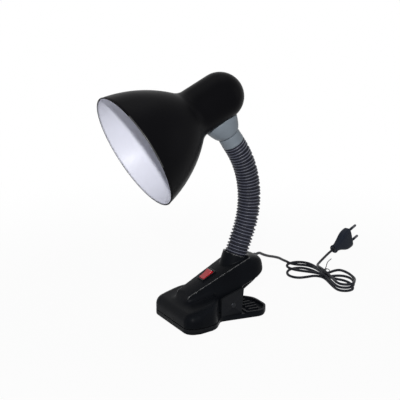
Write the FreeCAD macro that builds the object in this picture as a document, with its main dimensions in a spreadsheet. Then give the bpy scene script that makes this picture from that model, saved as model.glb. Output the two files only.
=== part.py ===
"""Clip-on reading lamp: sprung clip with a rocker switch, gooseneck neck, swivelling bell shade.

Frame: origin on the underside of the clip, straight below the pivot pin. +Z is up, the jaws point
towards -X, the squeeze handles towards +X, and the plane y = 0 is the lamp's plane of symmetry.
All sizes are millimetres.
"""
import FreeCAD, Part
import math
import os

V = FreeCAD.Vector
UP = V(0, 0, 1)
ACROSS = V(0, 1, 0)
ORIGIN = V(0, 0, 0)

# ---------------------------------------------------------------------------------------------
# Driving dimensions
# ---------------------------------------------------------------------------------------------
SIZES = (
    # clip, seen from above
    ("jaw_reach", 77.8, "pivot pin to jaw tip"),
    ("jaw_tip_half", 47.0, "half width of the jaw tip"),
    ("jaw_half", 50.0, "largest half width of the jaw"),
    ("jaw_rear_half", 45.5, "half width behind the widest place"),
    ("waist_half", 25.0, "half width of the waist at the pivot"),
    ("handle_half", 31.5, "half width of the squeeze handle"),
    ("handle_reach", 54.5, "pivot pin to the end of the squeeze handle"),
    # lower arm
    ("plate_thick", 7.2, "thickness of the lower jaw plate"),
    ("handle_thick", 9.0, "height of the handle rim"),
    ("handle_dish", 4.0, "depth of the dished handle top"),
    ("rim_wall", 2.6, "width of the handle rim"),
    ("floor_round", 3.0, "rounding of the lower outer edge"),
    ("cheek_inner", 21.6, "inner face of each cheek from the middle"),
    ("cheek_thick", 3.0, "thickness of each cheek"),
    ("pivot_height", 20.0, "pivot axis above the floor"),
    ("pin_radius", 2.0, "pivot pin"),
    ("pin_head", 3.4, "radius of the pin heads"),
    ("pin_head_thick", 1.0, "thickness of the pin heads"),
    ("run_fit", 0.1, "radial clearance of turning parts"),
    ("seat_gap", 0.3, "gap between parts that move on each other"),
    # jaw pads
    ("pad_thick", 2.0, "thickness of a rubber jaw pad"),
    ("pad_proud", 0.3, "height of a pad above its jaw face"),
    ("pad_border", 3.0, "jaw rim left round a pad"),
    ("pad_length", 24.0, "length of a pad from its front edge"),
    ("groove_pitch", 4.0, "spacing of the grip grooves"),
    # upper housing
    ("wall", 2.4, "wall of the moulded housing"),
    ("nose_setback", 11.0, "jaw tip to the ridge's nose"),
    ("nose_half", 14.5, "half width of the ridge at its nose"),
    ("nose_corner", 6.0, "corner of the nose seen from above"),
    ("nose_lean", 8.5, "how far the nose leans back from its foot to the ridge top"),
    ("tail_setback", 1.0, "end of the squeeze handle to the housing's rounded end"),
    ("tail_radius", 22.5, "rounded end of the ridge seen from above"),
    ("crown_height", 57.0, "height of the ridge top over the switch"),
    ("crown_slope", 26.8, "slope of the ridge top in degrees"),
    ("crown_radius", 90.0, "crown of the ridge top across"),
    ("tail_top", 80.5, "height of the rounded end"),
    ("tail_drop", 6.5, "fall of the top towards the rounded end"),
    ("tail_under", 58.5, "underside of the rounded end"),
    ("paddle_front", 24.0, "height of the upper jaw at its tip"),
    ("paddle_slope", 15.0, "rise of the upper jaw's top in degrees"),
    ("paddle_round", 12.0, "rounding of the upper jaw's top edge"),
    ("paddle_rear", 24.0, "pivot pin to the rear of the upper jaw"),
    ("paddle_rear_half", 30.0, "half width of the upper jaw's rear"),
    ("cover_thick", 2.0, "cover under the wiring chamber"),
    # switch
    ("switch_back", 25.0, "centre of the switch in front of the pivot"),
    ("bezel_length", 21.0, "switch bezel, lengthwise"),
    ("bezel_width", 15.0, "switch bezel, across"),
    ("bezel_thick", 2.0, "height of the bezel over the housing"),
    ("cutout_length", 19.2, "panel cut-out, lengthwise"),
    ("cutout_width", 13.6, "panel cut-out, across"),
    ("switch_depth", 12.0, "depth of the switch body below the panel"),
    ("rocker_width", 11.6, "width of the rocker"),
    ("rocker_reach", 8.4, "pivot of the rocker to its ends"),
    ("rocker_tilt", 10.0, "tilt of the rocker in either position"),
    # neck
    ("collar_x", 17.5, "centre of the neck collar's rim"),
    ("collar_z", 79.9, "centre of the neck collar's rim"),
    ("collar_radius", 17.0, "neck collar"),
    ("collar_lean", 20.0, "lean of the collar axis towards the handle"),
    ("socket_depth", 4.0, "depth of the collar's socket"),
    ("link_length", 12.75, "length of neck between two bending points"),
    ("link_bend", 5.9, "bend of the neck at each point of its curved part"),
    ("sleeve_radius", 14.0, "crest of the ribbed sleeve"),
    ("sleeve_root", 11.7, "root of the ribbed sleeve"),
    ("rib_pitch", 4.0, "spacing of the ribs"),
    ("conduit_radius", 8.0, "metal conduit inside the sleeve"),
    ("conduit_bore", 3.0, "wire way through the conduit"),
    ("ball_radius", 6.0, "rounded end of a conduit length"),
    ("stud_radius", 5.0, "threaded tube at both ends of the neck"),
    ("nut_flats", 14.0, "nut across its flats"),
    ("nut_thick", 4.0, "nut thickness"),
    ("washer_radius", 9.0, "washer"),
    ("washer_thick", 1.0, "washer thickness"),
    # head
    ("top_collar_radius", 13.7, "grey collar over the neck's upper end"),
    ("top_collar_length", 14.5, "length of the grey collar"),
    ("saddle_spread", 21.5, "radius of the saddle where it meets the dome"),
    ("saddle_height", 30.0, "height over which the saddle spreads"),
    ("mouth_radius", 75.0, "mouth of the shade"),
    ("shade_wall", 1.0, "sheet of the shade"),
    ("bell_length", 82.0, "depth of the bell"),
    ("bell_end_radius", 33.0, "bell where it meets the dome"),
    ("dome_radius", 30.0, "dome of the shade"),
    ("dome_length", 130.0, "mouth plane to the centre of the rounded end"),
    ("rim_bead", 1.2, "radius of the rolled rim"),
    ("shade_tilt", 25.8, "shade axis below the horizontal"),
    ("mouth_x", -124.3, "centre of the mouth"),
    ("mouth_z", 228.7, "centre of the mouth"),
    ("holder_radius", 19.0, "lampholder body"),
    ("holder_front", 88.0, "mouth plane to the lampholder's front"),
    ("holder_length", 40.0, "lampholder body"),
    ("bracket_width", 14.0, "steel strip that carries the lampholder"),
    ("bracket_setback", 20.0, "lampholder's front to the end of the strip"),
    ("thread_radius", 13.3, "inside of the lampholder's threaded shell"),
    ("thread_length", 22.0, "threaded shell"),
    ("contact_setback", 3.8, "threaded shell's inner end to the insulating base"),
    # cord
    ("cord_radius", 1.8, "mains cord"),
    ("exit_turn", 40.0, "direction of the cord outlet from +X towards +Y in degrees"),
    ("exit_height", 64.0, "height of the cord outlet"),
    ("relief_reach", 16.0, "strain relief outside the housing"),
    ("hank_thick", 9.6, "height of the cord's turns lying on the floor"),
    ("plug_length", 38.0, "plug body from its tail to its face"),
    ("plug_face_half", 16.5, "half width of the plug's face"),
    ("plug_thick", 13.7, "thickness of the plug body"),
    ("plug_pin_radius", 2.0, "plug pin"),
    ("plug_pin_length", 19.0, "plug pin beyond the plug's face"),
    ("plug_pin_half", 9.3, "half the spacing of the plug pins"),
)
LINKS = 12
STRAIGHT_LINKS = 3
RIBS_PER_LINK = 3

doc = FreeCAD.newDocument("clip_reading_lamp")
sheet = doc.addObject("Spreadsheet::Sheet", "Sizes")
for row, (alias, value, note) in enumerate(SIZES, 1):
    sheet.set("A%d" % row, note)
    sheet.set("B%d" % row, str(value))
    sheet.setAlias("B%d" % row, alias)
doc.recompute()


def size(alias):
    """Value of a driving dimension, read from the sheet."""
    return float(sheet.get(alias))


# ---------------------------------------------------------------------------------------------
# Outlines
# ---------------------------------------------------------------------------------------------
def rounded(corners):
    """Closed outline through corners (x, y, radius): straight runs joined by tangent arcs."""
    count = len(corners)
    starts, arcs, ends = [], [], []
    for i, (x, y, radius) in enumerate(corners):
        here = V(x, y, 0)
        back = (V(*corners[i - 1][:2], 0) - here).normalize()
        ahead = (V(*corners[(i + 1) % count][:2], 0) - here).normalize()
        if radius == 0:
            starts.append(here)
            ends.append(here)
            arcs.append(None)
            continue
        half = back.getAngle(ahead) / 2
        reach = radius / math.tan(half)
        middle = here + (back + ahead).normalize() * (radius / math.sin(half) - radius)
        starts.append(here + back * reach)
        ends.append(here + ahead * reach)
        arcs.append(Part.Arc(starts[-1], middle, ends[-1]))
    edges = []
    for i in range(count):
        if arcs[i] is not None:
            edges.append(arcs[i])
        following = starts[(i + 1) % count]
        if (following - ends[i]).Length > 1e-6:
            edges.append(Part.LineSegment(ends[i], following))
    return edges


def both_sides(half):
    """Outline corners given for +y, completed with their mirror images."""
    return list(half) + [(x, -y, radius) for x, y, radius in reversed(half)]


def polygon(*points):
    return rounded([(x, y, 0) for x, y in points])


def inset(edges, amount):
    """The same outline, moved inwards by an amount."""
    wire = Part.Wire([edge.toShape() for edge in edges])
    moved = wire.makeOffset2D(-amount)
    return [e.Curve.trim(e.FirstParameter, e.LastParameter) for e in moved.OrderedEdges]


def blunt_capsule(front, half, corner, centre, radius):
    """Outline from a blunt front end with rounded corners to a round end, joined by tangents."""
    towards = math.atan2(half, front - centre)
    touch = towards - math.acos(radius / math.hypot(half, front - centre))
    x = centre + radius * math.cos(touch)
    y = radius * math.sin(touch)
    edges = rounded([(x, -y, 0), (front, -half, corner), (front, half, corner), (x, y, 0)])
    edges[-1] = Part.Arc(V(x, y, 0), V(centre + radius, 0, 0), V(x, -y, 0))
    return edges


# ---------------------------------------------------------------------------------------------
# Document objects
# ---------------------------------------------------------------------------------------------
def origin_plane(body, role):
    for feature in body.Origin.OriginFeatures:
        if feature.Role == role:
            return feature
    raise ValueError(role)


def new_body(label):
    body = doc.addObject("PartDesign::Body", label)
    body.Label = label
    return body


def new_sketch(body, edges, role="XY_Plane", offset=0.0):
    sketch = body.newObject("Sketcher::SketchObject", body.Name + "_sketch")
    sketch.AttachmentSupport = [(origin_plane(body, role), "")]
    sketch.MapMode = "FlatFace"
    sketch.AttachmentOffset = FreeCAD.Placement(V(0, 0, offset), FreeCAD.Rotation())
    for edge in edges:
        sketch.addGeometry(edge, False)
    return sketch


def pad(body, sketch, length, symmetric=False):
    """Pad whose length is a number or an expression on the sheet."""
    feature = body.newObject("PartDesign::Pad", body.Name + "_pad")
    feature.Profile = sketch
    if symmetric:
        feature.SideType = "Symmetric"
    set_value(feature, "Length", length)
    doc.recompute()
    return feature


def pocket(body, sketch, length, symmetric=False):
    """Pocket that is checked to have removed material."""
    before = body.Shape.Volume
    feature = body.newObject("PartDesign::Pocket", body.Name + "_pocket")
    feature.Profile = sketch
    if symmetric:
        feature.SideType = "Symmetric"
    set_value(feature, "Length", length)
    doc.recompute()
    if not body.Shape.Volume < before - 1e-6:
        raise RuntimeError("pocket removed nothing: " + feature.Name)
    return feature


def revolve(body, edges):
    """Full revolution of a sketch in the XZ plane about the body's Z axis."""
    sketch = new_sketch(body, edges, "XZ_Plane")
    feature = body.newObject("PartDesign::Revolution", body.Name + "_revolution")
    feature.Profile = sketch
    feature.ReferenceAxis = (sketch, ["V_Axis"])
    feature.Angle = 360
    doc.recompute()
    return feature


def fillet(body, base, radius, chosen):
    """Fillet of the edges that a test picks from the feature."""
    names = ["Edge%d" % i for i, edge in enumerate(base.Shape.Edges, 1) if chosen(edge)]
    feature = body.newObject("PartDesign::Fillet", body.Name + "_fillet")
    feature.Base = (base, names)
    set_value(feature, "Radius", radius)
    doc.recompute()
    return feature


def set_value(feature, name, value):
    if isinstance(value, str):
        feature.setExpression(name, value)
    else:
        setattr(feature, name, value)


def cylinder(name, radius, height, base, direction=UP):
    """Part::Cylinder from a base point along a direction."""
    tube = doc.addObject("Part::Cylinder", name)
    set_value(tube, "Radius", radius)
    set_value(tube, "Height", height)
    tube.Placement = FreeCAD.Placement(base, FreeCAD.Rotation(UP, direction))
    return tube


def box(name, length, width, height, placement):
    """Part::Box centred in length and width on its placement."""
    block = doc.addObject("Part::Box", name)
    set_value(block, "Length", length)
    set_value(block, "Width", width)
    set_value(block, "Height", height)
    doc.recompute()
    shift = V(-block.Length.Value / 2, -block.Width.Value / 2, 0)
    block.Placement = placement.multiply(FreeCAD.Placement(shift, FreeCAD.Rotation()))
    return block


def combine(kind, name, members):
    result = doc.addObject("Part::Multi" + kind, name)
    result.Shapes = members
    doc.recompute()
    return result


def fuse(name, members):
    return combine("Fuse", name, members)


def common(name, members):
    return combine("Common", name, members)


def cut(name, base, tools):
    result = doc.addObject("Part::Cut", name)
    result.Base = base
    result.Tool = tools[0] if len(tools) == 1 else fuse(name + "_tools", tools)
    doc.recompute()
    return result


def hexagon(name, flats, thick, bore, placement):
    """Hexagon nut with a plain bore."""
    body = new_body(name)
    radius = flats / math.sqrt(3)
    corners = []
    for i in range(6):
        turn = math.radians(60 * i)
        corners.append((radius * math.cos(turn), radius * math.sin(turn)))
    hole = Part.Circle(ORIGIN, UP, bore)
    pad(body, new_sketch(body, polygon(*corners) + [hole]), thick)
    body.Placement = placement
    return body


def ring(name, outer, inner, thick, placement):
    """Flat washer."""
    body = new_body(name)
    circles = [Part.Circle(ORIGIN, UP, outer), Part.Circle(ORIGIN, UP, inner)]
    pad(body, new_sketch(body, circles), thick)
    body.Placement = placement
    return body


nodes = {}


def keep(name, item):
    item.Label = name
    nodes[name] = item
    return item


# ---------------------------------------------------------------------------------------------
# Places that several sub-parts share
# ---------------------------------------------------------------------------------------------
def along(degrees):
    """Unit vector in the plane of symmetry that leans from +Z towards +X."""
    turn = math.radians(degrees)
    return V(math.sin(turn), 0, math.cos(turn))


def lean(degrees):
    """Rotation that turns +Z to along(degrees)."""
    return FreeCAD.Rotation(ACROSS, degrees)


PIVOT = V(0, 0, size("pivot_height"))
PARTING = size("plate_thick") + 2 * size("pad_proud") + size("seat_gap")
PAD_FRONT = -size("jaw_reach") + size("pad_border")
CHEEK_OUTER = size("cheek_inner") + size("cheek_thick")

SLOPE = math.radians(size("crown_slope"))
CROWN_RISE = math.tan(SLOPE)
SWITCH_SPOT = V(-size("switch_back"), 0, size("crown_height"))
SWITCH_FRAME = FreeCAD.Placement(SWITCH_SPOT, lean(-size("crown_slope")))
PADDLE_REAR = -size("paddle_rear")
NOSE_X = size("nose_setback") - size("jaw_reach")
TAIL_X = size("handle_reach") - size("tail_setback")
TAIL_CENTRE = TAIL_X - size("tail_radius")

COLLAR_RIM = V(size("collar_x"), 0, size("collar_z"))


def neck_path():
    """Bending points of the neck's axis and the lean of each link between them."""
    leans = []
    for i in range(LINKS):
        bends = max(0, i + 1 - STRAIGHT_LINKS)
        leans.append(size("collar_lean") - bends * size("link_bend"))
    points = [COLLAR_RIM]
    for angle in leans:
        points.append(points[-1] + along(angle) * size("link_length"))
    return points, leans


NECK_POINTS, NECK_LEANS = neck_path()
NECK_TOP = NECK_POINTS[-1]
HEAD_LEAN = NECK_LEANS[-1]
SWIVEL_FACE = NECK_TOP + along(HEAD_LEAN) * size("top_collar_length")

MOUTH = V(size("mouth_x"), 0, size("mouth_z"))
SHADE_FRAME = FreeCAD.Placement(MOUTH, lean(90 - size("shade_tilt")))
SHADE_AXIS = along(90 - size("shade_tilt"))


def crown_z(x):
    """Height of the ridge's top line at x."""
    return size("crown_height") + CROWN_RISE * (x + size("switch_back"))


# ---------------------------------------------------------------------------------------------
# Lower arm of the clip
# ---------------------------------------------------------------------------------------------
def jaw_corners():
    """The jaw seen from above, from its tip to behind the widest place."""
    tip = -size("jaw_reach")
    return [
        (tip, size("jaw_tip_half"), 13.5),
        (tip + 18.5, size("jaw_half"), 15.0),
        (tip + 42.5, size("jaw_rear_half"), 22.0),
    ]


def handle_corners():
    end = size("handle_reach")
    return [
        (end - 13.5, size("handle_half"), 14.0),
        (end, size("handle_half") * 0.5, 22.0),
    ]


def jaw_pad_outline():
    """Rubber pad: the jaw's outline set back by the border and cut off behind."""
    tip = -size("jaw_reach")
    border = size("pad_border")
    back = tip + border + size("pad_length")
    return rounded(both_sides([
        (tip + border, size("jaw_tip_half") - border, 11.0),
        (tip + 17.5, size("jaw_half") - border - 1.0, 12.0),
        (back, size("jaw_half") - border - 3.0, 2.0),
    ]))


def make_lower_arm():
    body = new_body("lower_arm")
    waist = [(-18.0, size("waist_half"), 9.0)]
    outline = rounded(both_sides(jaw_corners() + waist + handle_corners()))
    plate = pad(body, new_sketch(body, outline), "Sizes.plate_thick")
    floor = fillet(body, plate, "Sizes.floor_round", lambda e: e.BoundBox.ZMax < 0.01)

    handle = rounded(both_sides([(18.0, 27.5, 0.0)] + handle_corners()))
    upper_part = inset(handle, 0.01)
    raised = new_sketch(body, upper_part, offset=size("floor_round"))
    pad(body, raised, size("handle_thick") - size("floor_round"))
    dish = new_sketch(body, inset(handle, size("rim_wall")), offset=size("handle_thick"))
    pocket(body, dish, "Sizes.handle_dish")
    rib_floor = size("handle_thick") - size("handle_dish")
    for row in (-2, -1, 0, 1, 2):
        y = row * 8.5
        end = size("handle_reach") - 8.0 - abs(row) * 2.5
        rib = rounded([(27.0, y - 1.2, 1.1), (end, y - 1.2, 1.1), (end, y + 1.2, 1.1), (27.0, y + 1.2, 1.1)])
        pad(body, new_sketch(body, rib, offset=rib_floor - 0.5), size("handle_dish") - 0.5)

    seat = new_sketch(body, jaw_pad_outline(), offset=size("plate_thick"))
    pocket(body, seat, size("pad_thick") - size("pad_proud"))

    cheek = rounded([
        (-17.0, size("plate_thick") - 2.0, 0.0),
        (-17.0, 31.0, 5.0),
        (15.5, 41.5, 1.5),
        (12.5, size("handle_thick"), 0.0),
        (12.5, size("plate_thick") - 2.0, 0.0),
    ])
    hole = Part.Circle(V(0, size("pivot_height"), 0), UP, size("pin_radius") + size("run_fit") / 2)
    for offset in (size("cheek_inner"), -CHEEK_OUTER):
        pad(body, new_sketch(body, cheek + [hole], "XZ_Plane", offset), "Sizes.cheek_thick")
    return keep("lower_arm", body)


def make_jaw_pad(name, under, grooves_up):
    """Rubber pad with grooves across its gripping face."""
    body = new_body(name)
    pad(body, new_sketch(body, jaw_pad_outline(), offset=under), "Sizes.pad_thick")
    count = int((size("pad_length") - 4.0) / size("groove_pitch"))
    depth = 0.6
    level = under + size("pad_thick") if grooves_up else under + depth
    slots = []
    for i in range(count):
        x = PAD_FRONT + 4.0 + i * size("groove_pitch")
        slots += rounded([(x, -50, 0), (x + 1.2, -50, 0), (x + 1.2, 50, 0), (x, 50, 0)])
    pocket(body, new_sketch(body, slots, offset=level), depth)
    return keep(name, body)


def make_pivot_pin():
    body = new_body("pivot_pin")
    reach = CHEEK_OUTER
    head = reach + size("pin_head_thick")
    radius = size("pin_radius")
    profile = polygon(
        (0, -head), (size("pin_head") - 0.6, -head), (size("pin_head"), -head + 0.5),
        (size("pin_head"), -reach), (radius, -reach), (radius, reach), (size("pin_head"), reach),
        (size("pin_head"), head - 0.5), (size("pin_head") - 0.6, head), (0, head))
    revolve(body, profile)
    body.Placement = FreeCAD.Placement(PIVOT, FreeCAD.Rotation(V(1, 0, 0), -90))
    return keep("pivot_pin", body)


def make_clip_spring():
    """Torsion spring round the pin: one leg bears on the handle's rim, the other on the cover."""
    wire = 1.0
    coil = 5.5
    pitch = 2 * wire + 0.4
    low_slope = 12.0
    high_slope = 24.0
    turns = 4.5 - (low_slope + high_slope) / 360
    width = turns * pitch
    helix = Part.Wire(Part.makeHelix(pitch, width, coil).Edges)
    section = Part.Wire(Part.makeCircle(wire, V(coil, 0, 0), ACROSS))
    winding = helix.makePipeShell([section], True, True)
    end_turn = turns * 2 * math.pi
    end = V(coil * math.cos(end_turn), coil * math.sin(end_turn), width)
    onward = V(-math.sin(end_turn), math.cos(end_turn), 0)
    low = Part.makeCylinder(wire, 23.0, V(coil, 0, 0), -ACROSS)
    high = Part.makeCylinder(wire, 23.0, end, onward)
    spring = doc.addObject("Part::Feature", "clip_spring")
    spring.Shape = winding.fuse([low, high]).removeSplitter()
    start = math.radians(low_slope)
    to_start = V(-math.sin(start), 0, -math.cos(start))
    rotation = FreeCAD.Rotation(to_start, ACROSS.cross(to_start), ACROSS, "ZXY")
    spring.Placement = FreeCAD.Placement(PIVOT - ACROSS * (width / 2), rotation)
    return keep("clip_spring", spring)


# ---------------------------------------------------------------------------------------------
# Upper arm: jaw, ridge housing and neck collar in one moulding
# ---------------------------------------------------------------------------------------------
def ridge_plan():
    return blunt_capsule(NOSE_X, size("nose_half"), size("nose_corner"), TAIL_CENTRE, size("tail_radius"))


def ridge_side():
    """Side view of the ridge: leaning nose, sloping top, rounded tail, lobe round the pivot pin."""
    top = size("tail_top")
    lobe = size("pivot_height") - 8.5
    nose_top = NOSE_X + size("nose_lean")
    return rounded([
        (NOSE_X, PARTING, 0.0),
        (NOSE_X, size("paddle_front") - 5.0, 5.0),
        (nose_top, crown_z(nose_top), 8.0),
        (8.0, crown_z(8.0), 25.0),
        (23.0, top, 10.0),
        (TAIL_X, top - size("tail_drop"), 13.0),
        (TAIL_X, size("tail_under"), 7.0),
        (16.0, 42.0, 4.0),
        (9.5, lobe, 8.0),
        (-22.0, lobe, 0.0),
        (-26.0, PARTING, 0.0),
    ])


def ridge_solid(name, shrink):
    """The ridge without the jaw, or the space inside it when shrunk by the wall."""
    plan = new_body(name + "_plan")
    capsule = ridge_plan() if shrink == 0 else inset(ridge_plan(), shrink)
    pad(plan, new_sketch(plan, capsule), 100.0)
    side = new_body(name + "_side")
    profile = ridge_side() if shrink == 0 else inset(ridge_side(), shrink)
    pad(side, new_sketch(side, profile, "XZ_Plane"), 100.0, symmetric=True)
    radius = size("crown_radius")
    slope = V(math.cos(SLOPE), 0, math.sin(SLOPE))
    normal = V(-math.sin(SLOPE), 0, math.cos(SLOPE))
    start = SWITCH_SPOT - normal * radius - slope * 150.0
    crown = cylinder(name + "_crown", radius - shrink, 350.0, start, slope)
    return common(name, [plan, side, crown])


def paddle_solid(name, shrink, floor_z):
    """The upper jaw: a blank with straight rounded sides, cut upright along the waist."""
    tip = -size("jaw_reach")
    blank = new_body(name + "_blank")
    sides = both_sides(jaw_corners()[:2] + [(PADDLE_REAR, size("jaw_half"), 0.0)])
    waist = both_sides(jaw_corners() + [(PADDLE_REAR, size("paddle_rear_half"), 0.0)])
    outlines = [rounded(sides), rounded(waist)]
    if shrink > 0:
        outlines = [inset(outline, shrink) for outline in outlines]
    pad(blank, new_sketch(blank, outlines[0], offset=floor_z), 60.0)
    rise = math.tan(math.radians(size("paddle_slope")))
    front = size("paddle_front") - shrink
    above = polygon((tip - 5, front - 5 * rise), (5, front + (5 - tip) * rise), (5, 120), (tip - 5, 120))
    top = pocket(blank, new_sketch(blank, above, "XZ_Plane"), 120.0, symmetric=True)
    fillet(blank, top, size("paddle_round") - shrink, lambda e: is_top_edge(e, front, rise))
    upright = new_body(name + "_waist")
    pad(upright, new_sketch(upright, outlines[1], offset=floor_z), 60.0)
    return common(name, [blank, upright])


def is_top_edge(edge, front, rise):
    """True for edges of the upper jaw's sloping top face, except the one inside the ridge."""
    if min(vertex.X for vertex in edge.Vertexes) > PADDLE_REAR - 3.0:
        return False
    for vertex in edge.Vertexes:
        expected = front + (vertex.X + size("jaw_reach")) * rise
        if abs(vertex.Z - expected) > 0.01:
            return False
    return True


def make_upper_housing():
    wall = size("wall")
    outer = [ridge_solid("ridge", 0.0), paddle_solid("paddle", 0.0, PARTING)]
    lean_up = along(size("collar_lean"))
    collar = cylinder("collar_boss", "Sizes.collar_radius", 24.0, COLLAR_RIM - lean_up * 24.0, lean_up)
    seat_frame = SWITCH_FRAME.multiply(FreeCAD.Placement(V(0, 0, -6.0), FreeCAD.Rotation()))
    switch_seat = box("switch_seat", size("bezel_length") + 2.0, size("bezel_width") + 2.0, 6.0, seat_frame)
    boss_reach = size("cheek_inner") - size("seat_gap")
    pin_boss = cylinder("pin_boss", 7.0, 2 * boss_reach, PIVOT - ACROSS * boss_reach, ACROSS)
    shell = fuse("housing_outer", outer + [collar, switch_seat, pin_boss])

    plan = new_body("opening_plan")
    pad(plan, new_sketch(plan, inset(ridge_plan(), wall)), 100.0)
    side = new_body("opening_side")
    rear = TAIL_X - wall
    below = polygon((-24.0, -5.0), (-24.0, 26.0), (14.0, 43.5), (rear, size("tail_under") + 8.0), (rear, -5.0))
    pad(side, new_sketch(side, below, "XZ_Plane"), 100.0, symmetric=True)
    opening = common("bottom_opening", [plan, side])
    chamber = fuse("chamber", [
        ridge_solid("ridge_space", wall), paddle_solid("paddle_space", wall, PARTING + wall + 0.1), opening])

    keep_collar = cylinder("collar_keep", size("collar_radius") - 0.5, 22.0, COLLAR_RIM - lean_up * 22.0, lean_up)
    keep_seat = box("seat_keep", size("bezel_length") + 1.0, size("bezel_width") + 1.0, 5.0, seat_frame)
    hollow = cut("hollow", chamber, [keep_collar, keep_seat])

    slot = box("switch_slot", "Sizes.cutout_length", "Sizes.cutout_width", 20.0,
               SWITCH_FRAME.multiply(FreeCAD.Placement(V(0, 0, -15.0), FreeCAD.Rotation())))
    depth = size("socket_depth")
    socket = cylinder("socket", size("sleeve_radius") + 0.5, 30.0, COLLAR_RIM - lean_up * depth, lean_up)
    wire_way = cylinder("wire_way", size("stud_radius") + 0.1, 40.0, COLLAR_RIM - lean_up * 30.0, lean_up)
    nut_space = cylinder("nut_space", 10.5, 20.0, COLLAR_RIM - lean_up * (depth + 3.5 + 20.0), lean_up)
    pin_hole = cylinder("pin_hole", size("pin_radius") + size("run_fit"), 60.0, PIVOT - ACROSS * 30.0, ACROSS)
    outlet_point, outlet_way = cord_outlet()
    outlet = cylinder("outlet", size("cord_radius") + 1.8, 12.0, outlet_point - outlet_way * 8.0, outlet_way)
    seat_body = new_body("pad_seat")
    pad(seat_body, new_sketch(seat_body, jaw_pad_outline(), offset=PARTING - 1.0),
        1.0 + size("pad_thick") - size("pad_proud"))
    housing = cut("upper_housing", shell, [
        hollow, slot, socket, wire_way, nut_space, pin_hole, outlet, seat_body])
    return keep("upper_housing", housing)


def cord_outlet():
    """Point and direction where the cord leaves the rounded end of the housing."""
    turn = math.radians(size("exit_turn"))
    way = V(math.cos(turn), math.sin(turn), 0)
    point = V(TAIL_CENTRE, 0, size("exit_height")) + way * size("tail_radius")
    return point, way


def make_bottom_cover():
    """Bent plate that closes the wiring chamber over the pin and the spring."""
    thick = size("cover_thick")
    gap = size("wall") + 0.3
    plan = new_body("cover_plan")
    pad(plan, new_sketch(plan, inset(ridge_plan(), gap)), 100.0)
    side = new_body("cover_side")
    high = size("pivot_height") + 13.0
    rear = TAIL_X - size("wall") - 0.3
    rear_z = size("tail_under") + 1.5
    bent = polygon(
        (-23.5, PARTING + size("wall") + 0.4), (-23.5 + thick, PARTING + size("wall") + 0.4),
        (-23.5 + thick, high), (13.0, high), (rear, rear_z), (rear, rear_z + thick * 1.2),
        (12.3, high + thick), (-23.5, high + thick))
    pad(side, new_sketch(side, bent, "XZ_Plane"), 100.0, symmetric=True)
    return keep("bottom_cover", common("bottom_cover", [plan, side]))


# ---------------------------------------------------------------------------------------------
# Rocker switch
# ---------------------------------------------------------------------------------------------
ROCKER_DROP = 1.5
AXLE_RADIUS = 1.0


def make_switch():
    """Frame, rocker and blade terminals, each in the frame of the sloping panel."""
    frame_body = box("switch_body", size("cutout_length") - 0.2, size("cutout_width") - 0.2, "Sizes.switch_depth",
                     FreeCAD.Placement(V(0, 0, -size("switch_depth")), FreeCAD.Rotation()))
    bezel = box("switch_bezel", "Sizes.bezel_length", "Sizes.bezel_width", "Sizes.bezel_thick", FreeCAD.Placement())
    well = box("switch_well", 2 * size("rocker_reach") + 0.6, size("rocker_width") + 0.6, 14.0,
               FreeCAD.Placement(V(0, 0, -8.5), FreeCAD.Rotation()))
    axle = V(0, 0, -ROCKER_DROP)
    across = size("cutout_width") - 0.2
    axle_hole = cylinder("axle_hole", AXLE_RADIUS + size("run_fit"), across, axle - ACROSS * (across / 2), ACROSS)
    frame = cut("switch_frame", fuse("switch_outer", [frame_body, bezel]), [well, axle_hole])
    frame.Placement = SWITCH_FRAME
    keep("switch_frame", frame)

    reach = size("rocker_reach")
    profile = polygon((-reach, -2.0), (reach, -2.0), (reach, 5.2), (0, 4.0), (-reach, 5.2))
    side = new_body("rocker_side")
    pad(side, new_sketch(side, profile, "XZ_Plane"), "Sizes.rocker_width", symmetric=True)
    barrel = cylinder("rocker_round", "Sizes.rocker_reach", 40.0, V(0, -20.0, 0), ACROSS)
    cap = common("rocker_cap", [side, barrel])
    axle_width = size("rocker_width") + 1.6
    trunnions = cylinder("trunnions", AXLE_RADIUS, axle_width, -ACROSS * (axle_width / 2), ACROSS)
    rocker = fuse("switch_rocker", [cap, trunnions])
    tilt = FreeCAD.Placement(V(0, 0, -ROCKER_DROP), lean(-size("rocker_tilt")))
    rocker.Placement = SWITCH_FRAME.multiply(tilt)
    keep("switch_rocker", rocker)

    blades = []
    for i, x in enumerate((-4.5, 4.5)):
        blades.append(box("blade_%d" % i, 0.8, 4.8, 6.0,
                          FreeCAD.Placement(V(x, 0, -size("switch_depth") - 6.0), FreeCAD.Rotation())))
    terminals = fuse("switch_terminals", blades)
    terminals.Placement = SWITCH_FRAME
    keep("switch_terminals", terminals)


# ---------------------------------------------------------------------------------------------
# Neck
# ---------------------------------------------------------------------------------------------
def link_placement(index):
    return FreeCAD.Placement(NECK_POINTS[index], lean(NECK_LEANS[index]))


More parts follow.
